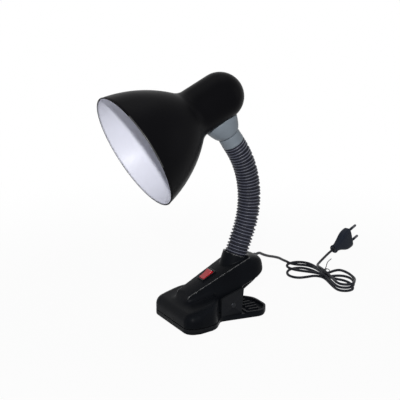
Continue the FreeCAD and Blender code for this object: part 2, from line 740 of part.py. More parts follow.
def make_conduit(index):
    """Length of conduit: a cup below and a ball above, both centred on the bending points."""
    radius = size("conduit_radius")
    bore = size("conduit_bore")
    ball = size("ball_radius")
    cup = ball + size("seat_gap")
    length = size("link_length")
    relief = 1.3
    cup_rim = math.sqrt(cup ** 2 - relief ** 2)
    cup_top = math.sqrt(cup ** 2 - bore ** 2)
    ball_rim = math.sqrt(ball ** 2 - relief ** 2)
    ball_top = math.sqrt(ball ** 2 - bore ** 2)

    def arc(radius_, centre, start, end):
        mean = [(a + b) / 2 for a, b in zip(start, end)]
        reach = math.hypot(mean[0], mean[1] - centre)
        middle = (mean[0] * radius_ / reach, centre + (mean[1] - centre) * radius_ / reach)
        return Part.Arc(V(*start, 0), V(*middle, 0), V(*end, 0))

    def line(start, end):
        return Part.LineSegment(V(*start, 0), V(*end, 0))

    foot = -size("socket_depth")
    if index == 0:
        stud = foot - 3.5 - size("washer_thick") - size("nut_thick") - 2.5
        low = [(bore, stud), (size("stud_radius"), stud), (size("stud_radius"), foot), (radius, foot)]
        edges = [line(a, b) for a, b in zip(low, low[1:])]
        inner_start = (bore, stud)
    else:
        edges = [arc(cup, 0, (bore, cup_top), (cup_rim, relief)), line((cup_rim, relief), (radius, relief))]
        inner_start = (bore, cup_top)
    last = edges[-1].EndPoint
    if index == LINKS - 1:
        top = length
        high = [(last.x, last.y), (radius, top), (bore, top)]
        edges += [line(a, b) for a, b in zip(high, high[1:])]
        inner_end = (bore, top)
    else:
        shoulder = length - relief
        edges += [line((last.x, last.y), (radius, shoulder)), line((radius, shoulder), (ball_rim, shoulder))]
        edges.append(arc(ball, length, (ball_rim, shoulder), (bore, length + ball_top)))
        inner_end = (bore, length + ball_top)
    edges.append(line(inner_end, inner_start))
    body = new_body("conduit_%02d" % (index + 1))
    revolve(body, edges)
    body.Placement = link_placement(index)
    return keep("conduit_%02d" % (index + 1), body)


def make_sleeve(index):
    """Length of ribbed sleeve that rides on one length of conduit."""
    inner = size("conduit_radius")
    root = size("sleeve_root")
    crest = size("sleeve_radius")
    length = size("link_length")
    first = (length - (RIBS_PER_LINK - 1) * size("rib_pitch")) / 2
    half_root = 0.9
    half_crest = 0.45
    low = first - half_root
    high = length - low
    points = []
    if index == 0:
        foot = -size("socket_depth")
        points += [(inner, foot), (root, foot)]
    else:
        points.append((inner, low))
    for i in range(RIBS_PER_LINK):
        z = first + i * size("rib_pitch")
        points += [(root, z - half_root), (crest, z - half_crest), (crest, z + half_crest), (root, z + half_root)]
    if index == LINKS - 1:
        points += [(root, length), (inner, length)]
    else:
        points.append((inner, high))
    body = new_body("sleeve_%02d" % (index + 1))
    revolve(body, polygon(*points))
    body.Placement = link_placement(index)
    return keep("sleeve_%02d" % (index + 1), body)


def make_neck():
    for index in range(LINKS):
        make_conduit(index)
        make_sleeve(index)
    up = along(size("collar_lean"))
    turn = lean(size("collar_lean"))
    under_floor = COLLAR_RIM - up * (size("socket_depth") + 3.5)
    washer_at = under_floor - up * size("washer_thick")
    nut_at = washer_at - up * size("nut_thick")
    bore = size("stud_radius") + 0.1
    keep("base_washer", ring("base_washer", size("washer_radius"), bore, size("washer_thick"),
                             FreeCAD.Placement(washer_at, turn)))
    keep("base_nut", hexagon("base_nut", size("nut_flats"), size("nut_thick"), size("stud_radius"),
                             FreeCAD.Placement(nut_at, turn)))


# ---------------------------------------------------------------------------------------------
# Swivel under the dome
# ---------------------------------------------------------------------------------------------
def dome_gap_cylinder(name, radius):
    """Cylinder round the dome's axis, used to seat parts against the dome."""
    return cylinder(name, radius, 140.0, MOUTH + SHADE_AXIS * 20.0, SHADE_AXIS)


def stud_reach():
    """Distance along the swivel axis from the swivel face to the outside of the dome."""
    axis = along(HEAD_LEAN)
    offset = SWIVEL_FACE - MOUTH
    normal = V(-SHADE_AXIS.z, 0, SHADE_AXIS.x)
    return (-size("dome_radius") - offset.dot(normal)) / axis.dot(normal)


def make_swivel():
    axis = along(HEAD_LEAN)
    turn = lean(HEAD_LEAN)
    body = new_body("neck_collar")
    radius = size("top_collar_radius")
    length = size("top_collar_length")
    stud = size("stud_radius")
    revolve(body, rounded([
        (stud, 0, 0), (radius, 0, 0), (radius, length - 3.0, 0), (radius - 1.2, length, 0),
        (stud, length, 0)]))
    body.Placement = FreeCAD.Placement(NECK_TOP, turn)
    keep("neck_collar", body)

    reach = stud_reach()
    wall = size("shade_wall")
    inside = reach + wall + 1.5
    stud_body = new_body("swivel_stud")
    bottom = -length
    nut_at = inside + size("washer_thick")
    top = nut_at + size("nut_thick") + 2.0
    revolve(stud_body, polygon((size("conduit_bore"), bottom), (stud, bottom), (stud, top), (size("conduit_bore"), top)))
    stud_body.Placement = FreeCAD.Placement(SWIVEL_FACE, turn)
    keep("swivel_stud", stud_body)

    saddle_body = new_body("saddle_cone")
    height = size("saddle_height")
    bore = stud + size("run_fit")
    revolve(saddle_body, polygon(
        (bore, size("seat_gap")), (radius - 1.0, size("seat_gap")), (radius, size("seat_gap") + 2.0),
        (size("saddle_spread"), reach), (size("saddle_spread") + 1.0, height), (bore, height)))
    saddle_body.Placement = FreeCAD.Placement(SWIVEL_FACE, turn)
    keep("saddle", cut("saddle", saddle_body, [dome_gap_cylinder("saddle_seat", size("dome_radius") + 0.15)]))

    keep("swivel_washer", ring("swivel_washer", size("washer_radius") - 1.0, bore, size("washer_thick"),
                               FreeCAD.Placement(SWIVEL_FACE + axis * inside, turn)))
    keep("swivel_nut", hexagon("swivel_nut", size("nut_flats"), size("nut_thick"), stud,
                               FreeCAD.Placement(SWIVEL_FACE + axis * nut_at, turn)))


# ---------------------------------------------------------------------------------------------
# Head
# ---------------------------------------------------------------------------------------------
NIPPLE_RADIUS = 4.0
CONTACT_PIN = 1.5
BRACKET_THICK = 1.2


def shade_profile(offset):
    """Radius against depth from the mouth: bell arc, straight dome, round end."""
    mouth = size("mouth_radius")
    bell = size("bell_length")
    end = size("bell_end_radius")
    dome = size("dome_radius")
    length = size("dome_length")
    chord = math.hypot(bell, mouth - end)
    along_x = (mouth - end) / chord
    along_y = bell / chord
    bulge = 5.6
    middle = ((mouth + end) / 2 + along_y * bulge, bell / 2 + along_x * bulge)
    return mouth - offset, bell, end - offset, dome - offset, length, (middle[0] - offset * along_y,
                                                                      middle[1] - offset * along_x)


def make_shade():
    """Sheet-metal bell and dome, revolved; the rim is rolled outwards."""
    wall = size("shade_wall")
    mouth, bell, end, dome, length, middle = shade_profile(0.0)
    mouth_in, _, end_in, dome_in, _, middle_in = shade_profile(wall)
    step = 3.0
    diagonal = math.sqrt(0.5)

    def point(pair):
        return V(pair[0], pair[1], 0)

    outer = [
        Part.Arc(point((mouth, 0)), point(middle), point((end, bell))),
        Part.LineSegment(point((end, bell)), point((dome, bell + step))),
        Part.LineSegment(point((dome, bell + step)), point((dome, length))),
        Part.Arc(point((dome, length)), point((dome * diagonal, length + dome * diagonal)), point((0, length + dome))),
    ]
    inner = [
        Part.LineSegment(point((0, length + dome)), point((0, length + dome_in))),
        Part.Arc(point((0, length + dome_in)), point((dome_in * diagonal, length + dome_in * diagonal)),
                 point((dome_in, length))),
        Part.LineSegment(point((dome_in, length)), point((dome_in, bell + step))),
        Part.LineSegment(point((dome_in, bell + step)), point((end_in, bell))),
        Part.Arc(point((end_in, bell)), point(middle_in), point((mouth_in, 0))),
        Part.LineSegment(point((mouth_in, 0)), point((mouth, 0))),
    ]
    body = new_body("shade_sheet")
    revolve(body, outer + inner)
    body.Placement = SHADE_FRAME
    rim = doc.addObject("Part::Torus", "shade_rim")
    rim.setExpression("Radius1", "Sizes.mouth_radius - Sizes.rim_bead + 0.4")
    rim.setExpression("Radius2", "Sizes.rim_bead")
    rim.Placement = SHADE_FRAME
    axis = along(HEAD_LEAN)
    hole = cylinder("stud_hole", size("stud_radius") + size("run_fit"), 20.0,
                    SWIVEL_FACE + axis * (stud_reach() - 8.0), axis)
    keep("shade", cut("shade", fuse("shade_whole", [body, rim]), [hole]))


def holder_places():
    """Depths from the mouth plane: shell's lip, insulating base, floor of the lampholder."""
    lip = size("holder_front") + 1.5
    seat = lip + size("thread_length") + size("contact_setback")
    return lip, seat, seat + 4.5


def make_lampholder():
    """Screw lampholder on the dome's axis: body, threaded shell, insulating base, centre contact."""
    front = size("holder_front")
    radius = size("holder_radius")
    thread = size("thread_radius")
    shell_outer = thread + 0.5
    deep = size("thread_length")
    back = front + size("holder_length")
    lip, seat, floor = holder_places()
    body = new_body("lampholder_body")
    revolve(body, rounded([
        (shell_outer, front, 0), (radius - 1.5, front, 0), (radius, front + 2.0, 0), (radius, front + 26.0, 0),
        (radius - 3.0, front + 30.0, 0), (radius - 3.0, back - 4.0, 0), (radius - 7.0, back, 0),
        (NIPPLE_RADIUS, back, 0), (NIPPLE_RADIUS, floor, 0), (shell_outer, floor, 0)]))
    body.Placement = SHADE_FRAME
    keep("lampholder_body", body)

    shell = new_body("threaded_shell")
    revolve(shell, polygon((thread, lip), (shell_outer, lip), (shell_outer, lip + deep), (thread, lip + deep)))
    shell.Placement = SHADE_FRAME
    keep("threaded_shell", shell)

    insulator = new_body("contact_base")
    revolve(insulator, polygon(
        (CONTACT_PIN, seat), (shell_outer, seat), (shell_outer, seat + 3.0), (CONTACT_PIN, seat + 3.0)))
    insulator.Placement = SHADE_FRAME
    keep("contact_base", insulator)

    contact = new_body("centre_contact")
    revolve(contact, polygon(
        (0, seat - 3.5), (3.0, seat - 3.0), (4.2, seat), (CONTACT_PIN, seat), (CONTACT_PIN, seat + 4.0),
        (0, seat + 4.0)))
    contact.Placement = SHADE_FRAME
    keep("centre_contact", contact)


def make_holder_bracket():
    """Steel strip welded inside the dome, with a cross plate that carries the lampholder."""
    inside = size("dome_radius") - size("shade_wall")
    back = size("holder_front") + size("holder_length")
    plate_top = back + BRACKET_THICK
    strip = new_body("bracket_strip")
    circles = [Part.Circle(ORIGIN, UP, inside), Part.Circle(ORIGIN, UP, inside - BRACKET_THICK)]
    first = size("holder_front") + size("bracket_setback")
    pad(strip, new_sketch(strip, circles, offset=first), plate_top - first)
    disc = cylinder("bracket_disc", inside, BRACKET_THICK, V(0, 0, back))
    beyond_nipple = NIPPLE_RADIUS + 6.0
    middle = V((beyond_nipple - inside) / 2, 0, 0)
    window = box("bracket_window", inside + beyond_nipple, "Sizes.bracket_width", 2 * plate_top,
                 FreeCAD.Placement(middle, FreeCAD.Rotation()))
    blank = common("bracket_blank", [fuse("bracket_whole", [strip, disc]), window])
    hole = cylinder("bracket_hole", NIPPLE_RADIUS, 2 * BRACKET_THICK, V(0, 0, back - BRACKET_THICK / 2))
    bracket = cut("holder_bracket", blank, [hole])
    bracket.Placement = SHADE_FRAME
    keep("holder_bracket", bracket)

    start = holder_places()[2]
    nipple = new_body("holder_nipple")
    end = plate_top + size("nut_thick") * 0.75 + 1.5
    revolve(nipple, polygon((2.6, start), (NIPPLE_RADIUS, start), (NIPPLE_RADIUS, end), (2.6, end)))
    nipple.Placement = SHADE_FRAME
    keep("holder_nipple", nipple)
    on_plate = SHADE_FRAME.multiply(FreeCAD.Placement(V(0, 0, plate_top), FreeCAD.Rotation()))
    keep("holder_nut", hexagon("holder_nut", size("nut_flats") - 2.0, size("nut_thick") * 0.75, NIPPLE_RADIUS,
                               on_plate))


# ---------------------------------------------------------------------------------------------
# Mains cord, hank and plug
# ---------------------------------------------------------------------------------------------
def cord_tube(name, route, last_radius=None):
    """Tube along straight runs joined by tangent arcs, as large as the runs allow."""
    points = [V(*point) for point in route]
    pieces = []
    start = points[0]
    for before, corner, after in zip(points, points[1:], points[2:]):
        back = (before - corner)
        ahead = (after - corner)
        run = 0.45 * min(back.Length, ahead.Length)
        back.normalize()
        ahead.normalize()
        half = back.getAngle(ahead) / 2
        radius = run * math.tan(half)
        print("%s bend radius %.0f" % (name, radius))
        middle = corner + (back + ahead).normalize() * (radius / math.sin(half) - radius)
        pieces.append(Part.LineSegment(start, corner + back * run).toShape())
        pieces.append(Part.Arc(corner + back * run, middle, corner + ahead * run).toShape())
        start = corner + ahead * run
    pieces.append(Part.LineSegment(start, points[-1]).toShape())
    path = Part.Wire(pieces)
    radius = size("cord_radius")
    section = Part.Wire(Part.makeCircle(radius, points[0], points[1] - points[0]))
    tube = doc.addObject("Part::Feature", name)
    tube.Shape = path.makePipeShell([section], True, False)
    expected = math.pi * radius ** 2 * path.Length
    print("%s length %.1f volume ratio %.4f" % (name, path.Length, tube.Shape.Volume / expected))
    return keep(name, tube)


HANK_OUTLINE = [
    (171.0, 129.0, 10.0), (200.0, 128.0, 11.0), (207.0, 98.0, 14.0), (203.0, 62.0, 6.0), (224.0, 53.0, 9.0),
    (225.0, 28.0, 22.0), (211.0, -3.0, 14.0), (192.0, -15.0, 9.0), (179.0, -9.0, 9.0), (186.0, 40.0, 14.0),
    (183.0, 60.0, 6.0), (155.0, 63.0, 10.0), (150.0, 84.0, 12.0), (160.0, 106.0, 16.0),
]
HANK_OPENING = [
    (193.0, 34.0, 4.0), (203.0, 30.0, 4.0), (205.0, 18.0, 5.0), (200.0, 3.0, 5.0), (192.0, -3.0, 3.0),
    (188.0, 6.0, 4.0), (189.0, 22.0, 5.0),
]
LEAD_ROUTE = [
    (45.94, 12.53, 64.0), (69.7, 32.5, 64.0), (86.0, 46.2, 54.0), (102.0, 59.5, 45.5), (123.0, 77.0, 36.0),
    (142.0, 93.0, 26.5), (157.0, 106.0, 17.0), (167.0, 115.0, 9.0), (177.0, 122.0, 3.0),
]
PLUG_ROUTE = [
    (204.0, 88.0, 5.0), (211.0, 103.0, 2.2), (224.0, 114.0, 2.2), (238.0, 123.0, 4.0), (251.0, 131.0, 6.0),
    (264.5, 138.6, 7.0),
]


PLUG_FLANGE = 6.6
PLUG_TURN = 17.0
PLUG_RISE = 18.0
PLUG_TAIL = V(266.5, 139.4, PLUG_FLANGE * 1.05)


def make_cord():
    outlet, way = cord_outlet()
    grommet = new_body("cord_grommet")
    bore = size("cord_radius") + 0.05
    neck = size("cord_radius") + 1.6
    wall = size("wall")
    reach = size("relief_reach")
    revolve(grommet, polygon(
        (bore, -wall - 2.8), (neck + 1.6, -wall - 2.8), (neck + 1.6, -wall - 0.8), (neck, -wall - 0.8),
        (neck, 0.8), (neck + 1.2, 0.8), (neck + 1.0, 2.5), (bore + 0.8, reach), (bore, reach)))
    grommet.Placement = FreeCAD.Placement(outlet, FreeCAD.Rotation(UP, way))
    keep("cord_grommet", grommet)
    leads = [cord_tube("cord_lead", LEAD_ROUTE), cord_tube("plug_lead", PLUG_ROUTE)]

    hank = new_body("hank_turns")
    turns = new_sketch(hank, rounded(HANK_OUTLINE) + rounded(HANK_OPENING))
    pad(hank, turns, "Sizes.hank_thick")
    keep("cord_hank", cut("cord_hank", hank, leads))


def make_plug():
    """Moulded two-pin plug lying on its narrow edge, tail and one corner on the floor."""
    length = size("plug_length")
    face = size("plug_face_half")
    tail = 5.0
    body = new_body("plug_moulding")
    outline = rounded(both_sides([
        (0.0, tail, 0.0), (9.0, tail + 0.5, 12.0), (24.0, face, 14.0), (length, face - 1.0, 3.0)]))
    pad(body, new_sketch(body, outline), "Sizes.plug_thick", symmetric=True)
    flange = cylinder("plug_flange", PLUG_FLANGE, 3.2, V(-1.2, 0, 0), V(1, 0, 0))
    lead_hole = cylinder("plug_lead_hole", "Sizes.cord_radius", 8.0, V(-1.2, 0, 0), V(1, 0, 0))
    turn = FreeCAD.Rotation(UP, PLUG_TURN).multiply(FreeCAD.Rotation(ACROSS, -PLUG_RISE))
    turn = turn.multiply(FreeCAD.Rotation(V(1, 0, 0), 90))
    stand = FreeCAD.Placement(PLUG_TAIL, turn)
    plug = cut("plug_body", fuse("plug_whole", [body, flange]), [lead_hole])
    plug.Placement = stand
    keep("plug_body", plug)
    pins = []
    for i, side in enumerate((-1, 1)):
        pins.append(cylinder("plug_pin_%d" % i, "Sizes.plug_pin_radius", "Sizes.plug_pin_length",
                             V(length, side * size("plug_pin_half"), 0), V(1, 0, 0)))
    pair = fuse("plug_pins", pins)
    pair.Placement = stand
    keep("plug_pins", pair)


def make_clip():
    make_lower_arm()
    recess = size("pad_thick") - size("pad_proud")
    make_jaw_pad("lower_pad", size("plate_thick") - recess, True)
    make_jaw_pad("upper_pad", PARTING - size("pad_proud"), False)
    make_pivot_pin()
    make_clip_spring()
    make_upper_housing()
    make_bottom_cover()


make_clip()
make_switch()
make_neck()
make_swivel()
make_shade()
make_lampholder()
make_holder_bracket()
make_cord()
make_plug()

doc.recompute()
for item in doc.Objects:
    if "Invalid" in item.State or "Error" in item.State:
        raise RuntimeError("failed object: %s %s" % (item.Name, item.State))
os.makedirs("parts", exist_ok=True)
for name, item in nodes.items():
    shape = item.Shape
    if shape.isNull() or not shape.isValid():
        raise RuntimeError("bad shape: " + name)
    shape.exportStep("parts/%s.step" % name)
    print("%-18s solids %d volume %.0f" % (name, len(shape.Solids), shape.Volume))
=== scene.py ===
"""Looks of the clip-on reading lamp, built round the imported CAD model.

Blender's objects are in metres, in the model's frame. Lengths in this file are in millimetres, apart from
the names that end in _M, and MM turns them into metres.
"""
import math

import bpy
import numpy
from mathutils import Matrix, Vector
from mathutils.bvhtree import BVHTree


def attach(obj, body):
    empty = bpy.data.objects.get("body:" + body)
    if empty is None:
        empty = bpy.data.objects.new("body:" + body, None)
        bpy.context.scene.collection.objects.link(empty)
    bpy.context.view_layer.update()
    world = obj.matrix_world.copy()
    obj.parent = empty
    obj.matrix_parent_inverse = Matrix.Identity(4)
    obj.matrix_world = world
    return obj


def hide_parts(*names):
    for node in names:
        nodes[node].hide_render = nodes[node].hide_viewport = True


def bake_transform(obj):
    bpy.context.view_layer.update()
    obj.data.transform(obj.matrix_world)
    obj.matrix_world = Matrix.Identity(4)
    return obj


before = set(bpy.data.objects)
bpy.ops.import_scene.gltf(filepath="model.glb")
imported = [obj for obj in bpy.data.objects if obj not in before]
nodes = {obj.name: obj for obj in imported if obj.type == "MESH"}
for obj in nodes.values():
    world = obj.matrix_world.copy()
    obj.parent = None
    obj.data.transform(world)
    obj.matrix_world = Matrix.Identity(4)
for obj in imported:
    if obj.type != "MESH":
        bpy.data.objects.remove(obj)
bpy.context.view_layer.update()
MM = 0.001

# ----------------------------------------------------------------------
# Camera
# ----------------------------------------------------------------------
SENSOR_WIDTH = 36.0
FOCAL_LENGTH = 110.72
EYE_M = (-0.7360, -1.2926, 0.5694)
LOOK = (0.45913, 0.84637, -0.26990)  # direction of view
NEAREST_M = 0.1
FARTHEST_M = 20.0


def make_camera():
    data = bpy.data.cameras.new("camera")
    data.sensor_width = SENSOR_WIDTH
    data.lens = FOCAL_LENGTH
    data.clip_start = NEAREST_M
    data.clip_end = FARTHEST_M
    camera = bpy.data.objects.new("camera", data)
    bpy.context.scene.collection.objects.link(camera)
    ahead = Vector(LOOK).normalized()
    right = ahead.cross(Vector((0, 0, 1))).normalized()
    up = right.cross(ahead)
    turn = Matrix((right, up, -ahead)).transposed()
    camera.matrix_world = Matrix.Translation(EYE_M) @ turn.to_4x4()
    bpy.context.scene.camera = camera


make_camera()

# ----------------------------------------------------------------------
# Materials
# ----------------------------------------------------------------------


def scaled(colour, factor):
    return tuple(min(1.0, c * factor) for c in colour)


class Shader:
    """Small helper that adds nodes to one material."""

    def __init__(self, name):
        self.material = bpy.data.materials.new(name)
        self.material.use_nodes = True
        self.tree = self.material.node_tree
        self.bsdf = self.tree.nodes["Principled BSDF"]
        coords = self.tree.nodes.new("ShaderNodeTexCoord")
        self.where = coords.outputs["Object"]

    def link(self, source, target):
        self.tree.links.new(source, target)

    def noise(self, scale, detail=3.0, rough=0.5, stretch=None):
        node = self.tree.nodes.new("ShaderNodeTexNoise")
        node.inputs["Scale"].default_value = scale
        node.inputs["Detail"].default_value = detail
        node.inputs["Roughness"].default_value = rough
        where = self.where
        if stretch:
            mapping = self.tree.nodes.new("ShaderNodeMapping")
            mapping.inputs["Scale"].default_value = stretch
            self.link(where, mapping.inputs["Vector"])
            where = mapping.outputs["Vector"]
        self.link(where, node.inputs["Vector"])
        return node.outputs["Fac"]

    def ramp(self, source, low, high, start=0.3, end=0.7):
        """Low up to start, high from end on, and a straight line between."""
        node = self.tree.nodes.new("ShaderNodeMapRange")
        node.inputs["From Min"].default_value = start
        node.inputs["From Max"].default_value = end
        node.inputs["To Min"].default_value = low
        node.inputs["To Max"].default_value = high
        self.link(source, node.inputs["Value"])
        return node.outputs["Result"]

    def mix(self, factor, first, second):
        """Mix of two colours, each a tuple or a socket."""
        node = self.tree.nodes.new("ShaderNodeMix")
        node.data_type = "RGBA"
        self.link(factor, node.inputs["Factor"])
        for socket, colour in (("A", first), ("B", second)):
            target = [s for s in node.inputs if s.name == socket and s.type == "RGBA"][0]
            if isinstance(colour, tuple):
                target.default_value = colour + (1.0,)
            else:
                self.link(colour, target)
        return [s for s in node.outputs if s.type == "RGBA"][0]

    def mottled(self, colour, spread, scale, detail):
        """The colour in soft clouds, darker and lighter by the spread."""
        cloud = self.ramp(self.noise(scale, detail), 0.0, 1.0)
        return self.mix(cloud, scaled(colour, 1.0 - spread), scaled(colour, 1.0 + spread))

    def bump(self, source, strength, distance, below=None):
        node = self.tree.nodes.new("ShaderNodeBump")
        node.inputs["Strength"].default_value = strength
        node.inputs["Distance"].default_value = distance
        self.link(source, node.inputs["Height"])
        if below is not None:
            self.link(below, node.inputs["Normal"])
        return node.outputs["Normal"]

    def worn_edges(self, amount):
        """The amount on convex edges and 0 on flat stretches, from the mesh's pointiness."""
        node = self.tree.nodes.new("ShaderNodeNewGeometry")
        edges = self.ramp(node.outputs["Pointiness"], 0.0, 1.0, start=0.52, end=0.62)
        fade = self.tree.nodes.new("ShaderNodeMath")
        fade.operation = "MULTIPLY"
        self.link(edges, fade.inputs[0])
        fade.inputs[1].default_value = amount
        return fade.outputs[0]

    def finish(self, colour, rough, normal, **fixed):
        self.link(colour, self.bsdf.inputs["Base Color"])
        self.link(rough, self.bsdf.inputs["Roughness"])
        self.link(normal, self.bsdf.inputs["Normal"])
        for name, value in fixed.items():
            self.bsdf.inputs[name.replace("_", " ")].default_value = value
        return self.material


def plastic(name, colour, rough, grain, bump=0.15, spread=0.25, wear=0.35, gloss=0.16):
    """Moulded plastic: mottled colour, fine spark-eroded grain, polished edges."""
    s = Shader(name)
    base = s.mottled(colour, spread, scale=22.0, detail=4.0)
    pale = tuple(c + 0.03 for c in scaled(colour, 1.8))
    toned = s.mix(s.worn_edges(wear), base, pale)
    roughness = s.ramp(s.noise(60.0, detail=5.0), rough - 0.05, rough + 0.07)
    fine = s.noise(grain, detail=2.0, rough=0.6)
    normal = s.bump(fine, bump, distance=0.00012)
    return s.finish(toned, roughness, normal, Specular_IOR_Level=gloss)


def paint(name, colour, rough, spread=0.12, gloss=0.12):
    """Sprayed paint on sheet metal: orange peel, finer specks, slight haze."""
    s = Shader(name)
    base = s.mottled(colour, spread, scale=9.0, detail=3.0)
    roughness = s.ramp(s.noise(30.0, detail=6.0, rough=0.6), rough - 0.04, rough + 0.06)
    peel = s.noise(260.0, detail=2.0, rough=0.4)
    speck = s.noise(1900.0, detail=1.0, rough=0.5)
    low = s.bump(peel, 0.12, distance=0.00025)
    normal = s.bump(speck, 0.06, distance=0.00005, below=low)
    return s.finish(base, roughness, normal, Specular_IOR_Level=gloss)


def metal(name, colour, rough, brushed=(1.0, 1.0, 1.0), spread=0.12):
    """Plated or brushed metal with stains and fine scratches."""
    s = Shader(name)
    base = s.mottled(colour, spread, scale=70.0, detail=4.0)
    stain = s.ramp(s.noise(160.0, detail=5.0, rough=0.65), rough - 0.06, rough + 0.12)
    scratch = s.noise(500.0, detail=2.0, rough=0.7, stretch=brushed)
    normal = s.bump(scratch, 0.12, distance=0.00004)
    return s.finish(base, stain, normal, Metallic=1.0)


def rubber(name, colour, rough, gloss=0.14):
    """Soft rubber or vinyl with a little dust and a fine grain."""
    s = Shader(name)
    dust = s.ramp(s.noise(45.0, detail=5.0, rough=0.6), 0.0, 1.0)
    dusty = tuple(c + 0.004 for c in scaled(colour, 1.2))
    base = s.mix(dust, scaled(colour, 0.8), dusty)
    roughness = s.ramp(s.noise(120.0, detail=4.0), rough - 0.06, rough + 0.08)
    normal = s.bump(s.noise(1400.0, detail=2.0, rough=0.7), 0.2, distance=0.0001)
    return s.finish(base, roughness, normal, Specular_IOR_Level=gloss)


MATERIALS = {
    "shade_black": paint("shade_black", (0.0036, 0.0036, 0.0044), 0.33, gloss=0.02),
    "shade_white": paint("shade_white", (0.73, 0.74, 0.83), 0.42, 0.02, gloss=0.35),
    # shade_rim: glossier black for the rim's painted highlight
    "shade_rim": paint("shade_rim", (0.0030, 0.0030, 0.0034), 0.36, gloss=0.6),
    "clip_black": plastic("clip_black", (0.0042, 0.0049, 0.0066), 0.38, 1500.0, wear=0.3, gloss=0.03),
    "clip_edge": plastic("clip_edge", (0.0060, 0.0066, 0.0080), 0.30, 1500.0, wear=0.3, gloss=0.7),
    "sleeve": plastic("sleeve", (0.056, 0.060, 0.086), 0.42, 1200.0, wear=0.2, gloss=0.6),
    # painted shade: a darker copy of the sleeve for the grooves
    "sleeve_groove_shade": plastic("sleeve_groove_shade", (0.016, 0.017, 0.025), 0.55, 1200.0, wear=0.0, gloss=0.1),
    "grey": plastic("grey", (0.176, 0.205, 0.236), 0.38, 1500.0, spread=0.06, wear=0.15, gloss=0.2),
    "switch_black": plastic("switch_black", (0.004, 0.004, 0.005), 0.22, 900.0, bump=0.05, gloss=0.12),
    "rocker_red": plastic("rocker_red", (0.45, 0.009, 0.018), 0.16, 700.0, bump=0.03, spread=0.08, wear=0.1,
                          gloss=0.4),
    "holder": plastic("holder", (0.012, 0.012, 0.012), 0.24, 900.0, bump=0.06, gloss=0.2),
    "cord": rubber("cord", (0.010, 0.011, 0.016), 0.42, gloss=0.1),
    "plug": plastic("plug", (0.011, 0.014, 0.023), 0.40, 1300.0, gloss=0.08),
    "pad": rubber("pad", (0.008, 0.008, 0.009), 0.62, gloss=0.1),
    "steel": metal("steel", (0.56, 0.57, 0.59), 0.30, (1.0, 1.0, 8.0)),
    "spring": metal("spring", (0.40, 0.41, 0.43), 0.34, (1.0, 6.0, 1.0)),
    "brass": metal("brass", (0.76, 0.58, 0.30), 0.26),
    "nickel": metal("nickel", (0.07, 0.07, 0.08), 0.34, (6.0, 1.0, 6.0)),
    "blackened": metal("blackened", (0.02, 0.021, 0.024), 0.42, (1.0, 1.0, 4.0)),
    "tie": rubber("tie", (0.03, 0.032, 0.036), 0.5),
}

NODE_FINISH = {
    "lower_arm": "clip_black", "upper_housing": "clip_black", "bottom_cover": "clip_black",
    "lower_pad": "pad", "upper_pad": "pad", "pivot_pin": "blackened", "clip_spring": "spring",
    "switch_terminals": "brass", "base_washer": "steel", "base_nut": "steel", "swivel_stud": "steel",
    "swivel_washer": "steel", "swivel_nut": "steel", "contact_base": "holder", "centre_contact": "brass",
    "holder_bracket": "steel", "holder_nipple": "steel", "holder_nut": "steel", "cord_grommet": "cord",
    "threaded_shell": "brass", "lampholder_body": "holder", "switch_frame": "switch_black",
    "switch_rocker": "rocker_red", "neck_collar": "grey", "saddle": "grey", "shade": "shade_black",
    "plug_body": "plug", "plug_pins": "nickel", "cord_lead": "cord", "plug_lead": "cord", "cord_hank": "cord",
}


def dress_nodes():
    """Every CAD node gets a finish, whether it shows or is replaced by a finer piece."""
    for name, obj in nodes.items():
        if name.startswith("sleeve"):
            finish = "sleeve"
        elif name.startswith("conduit"):
            finish = "steel"
        else:
            finish = NODE_FINISH[name]
        obj.data.materials.clear()
        obj.data.materials.append(MATERIALS[finish])


dress_nodes()

# ----------------------------------------------------------------------
# Mesh helpers
# ----------------------------------------------------------------------
ON_AXIS = 1e-6


def show(name, data):
    """Object with this data, in the scene."""
    obj = bpy.data.objects.new(name, data)
    bpy.context.scene.collection.objects.link(obj)
    return obj


def new_piece(name, verts, faces, finishes, body, replaces):
    """Smooth mesh object that stands for a CAD node.

    finishes is one material's name, or the names and the number of the one that each face has.
    """
    mesh = bpy.data.meshes.new(name)
    mesh.from_pydata([tuple(v) for v in verts], [], faces)
    names, index = ((finishes,), None) if isinstance(finishes, str) else finishes
    for item in names:
        mesh.materials.append(MATERIALS[item])
    if index is not None:
        mesh.polygons.foreach_set("material_index", index)
    mesh.polygons.foreach_set("use_smooth", [True] * len(mesh.polygons))
    mesh.validate()
    mesh.update()
    obj = show(name, mesh)
    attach(obj, body)
    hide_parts(replaces)
    return obj


def as_mesh(obj):
    """New mesh of an object with its modifiers, or of a curve with its bevel."""
    graph = bpy.context.evaluated_depsgraph_get()
    graph.update()
    return bpy.data.meshes.new_from_object(obj.evaluated_get(graph))


def around(place, radius, angle, height):
    """Point at a radius and height in mm and an angle about a placement's Z."""
    return place @ Vector((radius * MM * math.cos(angle), radius * MM * math.sin(angle), height * MM))


def turns(count):
    """Evenly spaced angles of one full turn."""
    return [2 * math.pi * i / count for i in range(count)]


def ring_faces(rings, segments):
    """Faces between rings of vertices that lie one after the other."""
    faces = []
    for k in range(rings - 1):
        low, high = k * segments, (k + 1) * segments
        for i in range(segments):
            j = (i + 1) % segments
            faces.append((low + i, low + j, high + j, high + i))
    return faces


